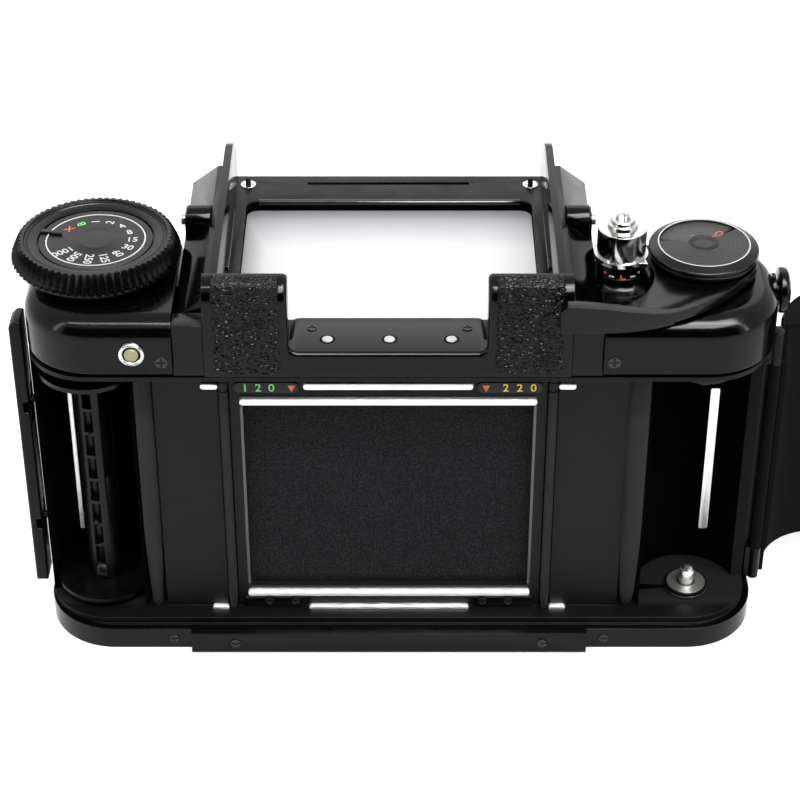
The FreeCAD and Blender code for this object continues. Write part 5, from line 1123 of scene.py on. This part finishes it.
def thin_roller(side, x):
    """A thin roller with the collar near its upper end."""
    y = -34.1
    rings = [
        (0.7, 7.0), (0.7, 8.0), (0.75, 8.0), (1.13, 12.0), (1.13, 74.6), (0.8, 74.7), (0.8, 75.1),
        (1.13, 75.2), (1.13, 77.2), (0.9, 77.3), (0.9, 77.9), (0.9, 79.9), (0.7, 79.9), (0.7, 80.9),
    ]
    piece = lathe(f"roller_{side}_collared", (x, y), rings, 40)
    finish(piece, roller_rubber, f"roller_thin_{side}", replaces=[f"roller_thin_{side}"])


thick_roller("left", -58.9, 2.2)
thick_roller("right", 60.5, 2.6)
thin_roller("left", -39.5)
thin_roller("right", 39.5)


# Strap studs, springs, linings of painted shade, gate edges, spool, take-up pin and the frame's small parts

FEED = (-72.8, -22.5)
TAKE_UP = (76.5, -26.0)
STUD_HEIGHT = 91.0


def springs():
    pieces = [
        bar("spring_left", (-79.9, -78.8), (-16.3, -15.9), (19.0, 63.5), 0.3, 0.08),
        bar("spring_right", (80.05, 82.35), (-16.3, -15.9), (19.0, 63.0), 0.5, 0.1),
        block("spring_left_foot", ((-79.8, -78.9), (-16.0, -12.7), (20.5, 22.0))),
        block("spring_left_head", ((-79.8, -78.9), (-16.0, -12.7), (59.5, 61.0))),
        block("spring_right_foot", ((80.4, 82.0), (-16.0, -14.6), (20.5, 22.0))),
        block("spring_right_head", ((80.4, 82.0), (-16.0, -14.6), (59.0, 60.5))),
    ]
    chamber = joined("chamber_springs", pieces)
    finish(chamber, steel_upright, replaces=["leaf_springs"])
    for side, sign in SIDES:
        bars = []
        for name, low, high, length, edge in (
            ("finder_spring", 39.0, 39.25, (-8.0, 20.0), 0.04),
            ("finder_spring_foot", 39.1, 39.75, (-8.0, -4.5), 0.06),
        ):
            x = sorted((low * sign, high * sign))
            bars.append(bar(f"{name}_{side}", x, length, (91.8, 93.4), 0.5, edge, "X"))
        finish(joined(f"finder_leaf_{side}", bars), steel_dark, slot="steel")


def chamber_shade_lining():
    """Matt black paint on the walls of both film chambers, made near black and dull as painted shade."""

    def outside(x, y, z):
        if not (7.6 < z < 79.9 and -37.5 < y < -9.0):
            return True
        for centre_x, centre_y in (FEED, TAKE_UP):
            behind = y < centre_y and abs(x - centre_x) < 13.4
            if behind or math.hypot(x - centre_x, y - centre_y) < 13.3:
                return False
        return True

    lining = lining_of("body_casting", "chamber_shade_lining", outside)
    # Painted shade: the near-black coat darkens the chamber walls.
    finish(lining, flock_and_shade_black, slot="black_casting")


def gate_edges():
    pieces = []
    for side in (-1, 1):
        x = sorted((35.0 * side, 35.7 * side))
        pieces.append(bar(f"gate_edge_{side}", x, (-33.72, -33.58), (15.0, 69.8), 0.1, 0.05))
    edges = joined("gate_edges", pieces)
    # Thin light steel strips along both sides of the gate.
    dress(edges, gate_line_steel, slot="steel")


def slim_spool():
    """The empty spool with its real, thinner core."""
    spool = copy_of("film_spool", "spool_slim")

    def on_core(x, y, z):
        return 3.5 < math.hypot(x - FEED[0], y - FEED[1]) < 6.5 and 10.0 < z < 75.0

    with editing(spool):
        choose(spool, on_core)
        bpy.ops.transform.resize(value=(0.75, 0.75, 1), center_override=metres(*FEED, 0))
    finish(spool, spool_plastic, "spool", replaces=["film_spool"])


def take_up_pin():
    """The bright pin of the take-up side on its stepped collar."""
    steps = [(5.4, 8.0), (5.4, 8.5), (5.2, 8.6), (5.2, 9.2), (4.9, 9.55), (2.3, 9.6), (2.3, 8.0)]
    collar = lathe("take_up_collar", TAKE_UP, [*steps, steps[0]])
    finish(collar, steel_collar, slot="steel")
    rings = [(1.72, 9.0), (1.9, 9.2), (1.9, 13.1), (1.7, 13.5), (1.2, 13.6), (0.4, 13.6)]
    pin = lathe("take_up_pin", TAKE_UP, rings, 48)
    finish(pin, chrome_satin, "knob_take", slot="chrome_plate")


def frame_shade_lining():
    """Matt black paint on the walls of the frame's window, made near black and dull as painted shade."""

    def elsewhere(x, y, z):
        return not (85.1 < z < 87.9 and abs(x) < 38 and -27 < y < 40)

    lining = lining_of("finder_frame", "frame_shade_lining", elsewhere)
    with editing(lining):
        choose(lining, lambda x, y, z: z > 87.9)
        bpy.ops.transform.translate(value=(0, 0, -0.55 * MM))
    # Painted shade: the near-black coat darkens the walls of the window's recess.
    finish(lining, flock_and_shade_black, slot="black_casting")


def frame_rim():
    """The round rim along the far edge of the frame's window."""
    rim = bar("frame_rim", (-34.0, 34.0), (32.95, 34.6), (86.6, 88.05), 0.7, 0.15, "X")
    dress(rim, rim_black, slot="black_enamel")


def pin_lugs():
    """The round lugs that carry the sprung finder pins."""
    for side, sign in SIDES:
        lug = rod(f"pin_lug_{side}", (46.4 * sign, 3.5, 99.9), 3.55, 6.2, 48, (0, math.pi / 2, 0))
        freeze()
        round_edges(lug, 0.5, 3, 50)
        dress(lug, gloss_black, slot="black_enamel")


def frame_posts():
    """The black posts that stand in the frame's front screws."""
    for side, sign in SIDES:
        rings = [(0.7, 88.0), (0.7, 89.6), (0.5, 89.9), (0.2, 90.0)]
        post = lathe(f"frame_post_{side}", (37.0 * sign, 41.8), rings, 24)
        finish(post, satin_black, slot="black_enamel")


def strap_studs():
    """Mushroom studs for a strap. The left one stands 8.4 mm in front of its solid and its mount."""
    studs = []
    for side, way, start, y in (("left", -1, -82.9, -6.0), ("right", 1, 92.5, -15.0)):
        rings = [(4.2, 0.0), (4.2, 0.7), (2.6, 0.9), (2.6, 1.3), (5.3, 1.5), (5.6, 1.9)]
        rings += [(5.6, 2.9), (5.2, 3.6), (4.2, 4.1), (2.4, 4.3), (0.4, 4.35)]
        raised = [(radius, STUD_HEIGHT + height) for radius, height in rings]
        stud = lathe(f"stud_{side}", (start, y), raised, 64)
        turned(stud, -90 * way, "Y", (start, y, STUD_HEIGHT))
        studs.append(stud)
    pair = joined("strap_studs", studs)
    finish(pair, gloss_black, replaces=["strap_lugs"])


strap_studs()
springs()
chamber_shade_lining()
gate_edges()
slim_spool()
take_up_pin()
frame_shade_lining()
frame_rim()
pin_lugs()
frame_posts()


# CAD nodes whose sharp edges are rounded

for node, width, segments in (
    ("finder_frame", 0.6, 4),
    ("finder_sides", 0.45, 3),
    ("wind_lever", 0.8, 4),
    ("base_rail", 0.4, 3),
    ("latch_bar", 0.5, 3),
):
    softened(node, width, segments)


# Floor, light and camera

FLOOR_LIFT = 0.55
WORLD_LEVEL = 0.45


def in_view(owner):
    """One for rays from the camera and for those that gloss and glass send on, else zero."""
    rays = add(owner, "LightPath").outputs
    seen = add(owner, "Math", {"operation": "MAXIMUM"}, rays["Is Camera Ray"], rays["Is Glossy Ray"])
    sent = seen.outputs["Value"]
    clear = add(owner, "Math", {"operation": "MAXIMUM"}, sent, rays["Is Transmission Ray"])
    return clear.outputs["Value"]


def pale_floor():
    """A plain white floor that shows as white and keeps the camera's shadow."""
    deselect()
    bpy.ops.mesh.primitive_plane_add(size=6, location=(0, 0, -0.0002))
    floor = named("floor")
    material, shader = surface("floor_white", "#ffffff", Roughness=0.9)
    lift = add(material, "Math", {"operation": "MULTIPLY"}, in_view(material))
    lift.inputs[1].default_value = FLOOR_LIFT
    link(material, lift.outputs["Value"], shader, "Emission Strength")
    shader.inputs["Emission Color"].default_value = linear("#ffffff")
    floor.data.materials.append(material)


def white_world():
    """White to the camera and in reflections, a mild even light otherwise."""
    world = bpy.data.worlds.new("studio")
    bpy.context.scene.world = world
    world.use_nodes = True
    back = world.node_tree.nodes["Background"]
    level = add(world, "MapRange", {"To Min": WORLD_LEVEL, "To Max": 1.0}, Value=in_view(world))
    link(world, level.outputs["Result"], back, "Strength")
    back.inputs["Color"].default_value = (1, 1, 1, 1)


def softbox(name, place, target, size, watts):
    deselect()
    bpy.ops.object.light_add(type="AREA", location=place)
    lamp = bpy.context.active_object
    lamp.name = name
    lamp.data.shape = "RECTANGLE"
    lamp.data.size = size[0]
    lamp.data.size_y = size[1]
    lamp.data.energy = watts
    way = Vector(target) - Vector(place)
    lamp.rotation_euler = way.to_track_quat("-Z", "Y").to_euler()
    lamp.visible_camera = False
    return lamp


def black_flag():
    """A black cloth behind the camera, which gives the glossy edges their dark side, out of every view."""
    deselect()
    bpy.ops.mesh.primitive_plane_add(size=1, location=(0, -1.3, 0.75), rotation=(math.pi / 2, 0, 0))
    flag = named("black_flag")
    flag.scale = (3.2, 1.3, 1)
    freeze()
    material, shader = surface("flag_cloth_black", "#050505", Roughness=1.0, Specular_IOR_Level=0.0)
    flag.data.materials.append(material)
    flag.visible_camera = False


def studio_camera():
    """The photograph's view: 0.62 m away, looking down by 34.8 degrees along the lens axis."""
    look_down = math.radians(34.8)
    deselect()
    bpy.ops.object.camera_add(
        location=metres(2.81, -485.31, 385.47),
        rotation=(math.pi / 2 - look_down, 0, 0),
    )
    camera = bpy.context.active_object
    sensor_mm = 36
    picture_pixels = 800
    focal_pixels = 2294
    camera.data.sensor_width = sensor_mm
    camera.data.lens = sensor_mm * focal_pixels / picture_pixels
    camera.data.clip_start = 0.01
    bpy.context.scene.camera = camera


pale_floor()
white_world()
black_flag()
middle = (0, 0, 0.05)
softbox("overhead", (0.0, -0.35, 0.95), middle, (1.3, 0.06), 6.5)
glint = softbox("glint_panel", (0.28, -0.42, 0.92), middle, (0.8, 0.5), 26)
glint.visible_diffuse = False
softbox("left_strip", (-0.85, -0.45, 0.5), middle, (0.05, 0.8), 1.6)
softbox("right_strip", (0.85, -0.45, 0.5), middle, (0.05, 0.8), 1.6)
softbox("back_panel", (0.0, 1.1, 0.85), middle, (1.6, 0.7), 4)
studio_camera()

bpy.context.scene.view_settings.view_transform = "Standard"
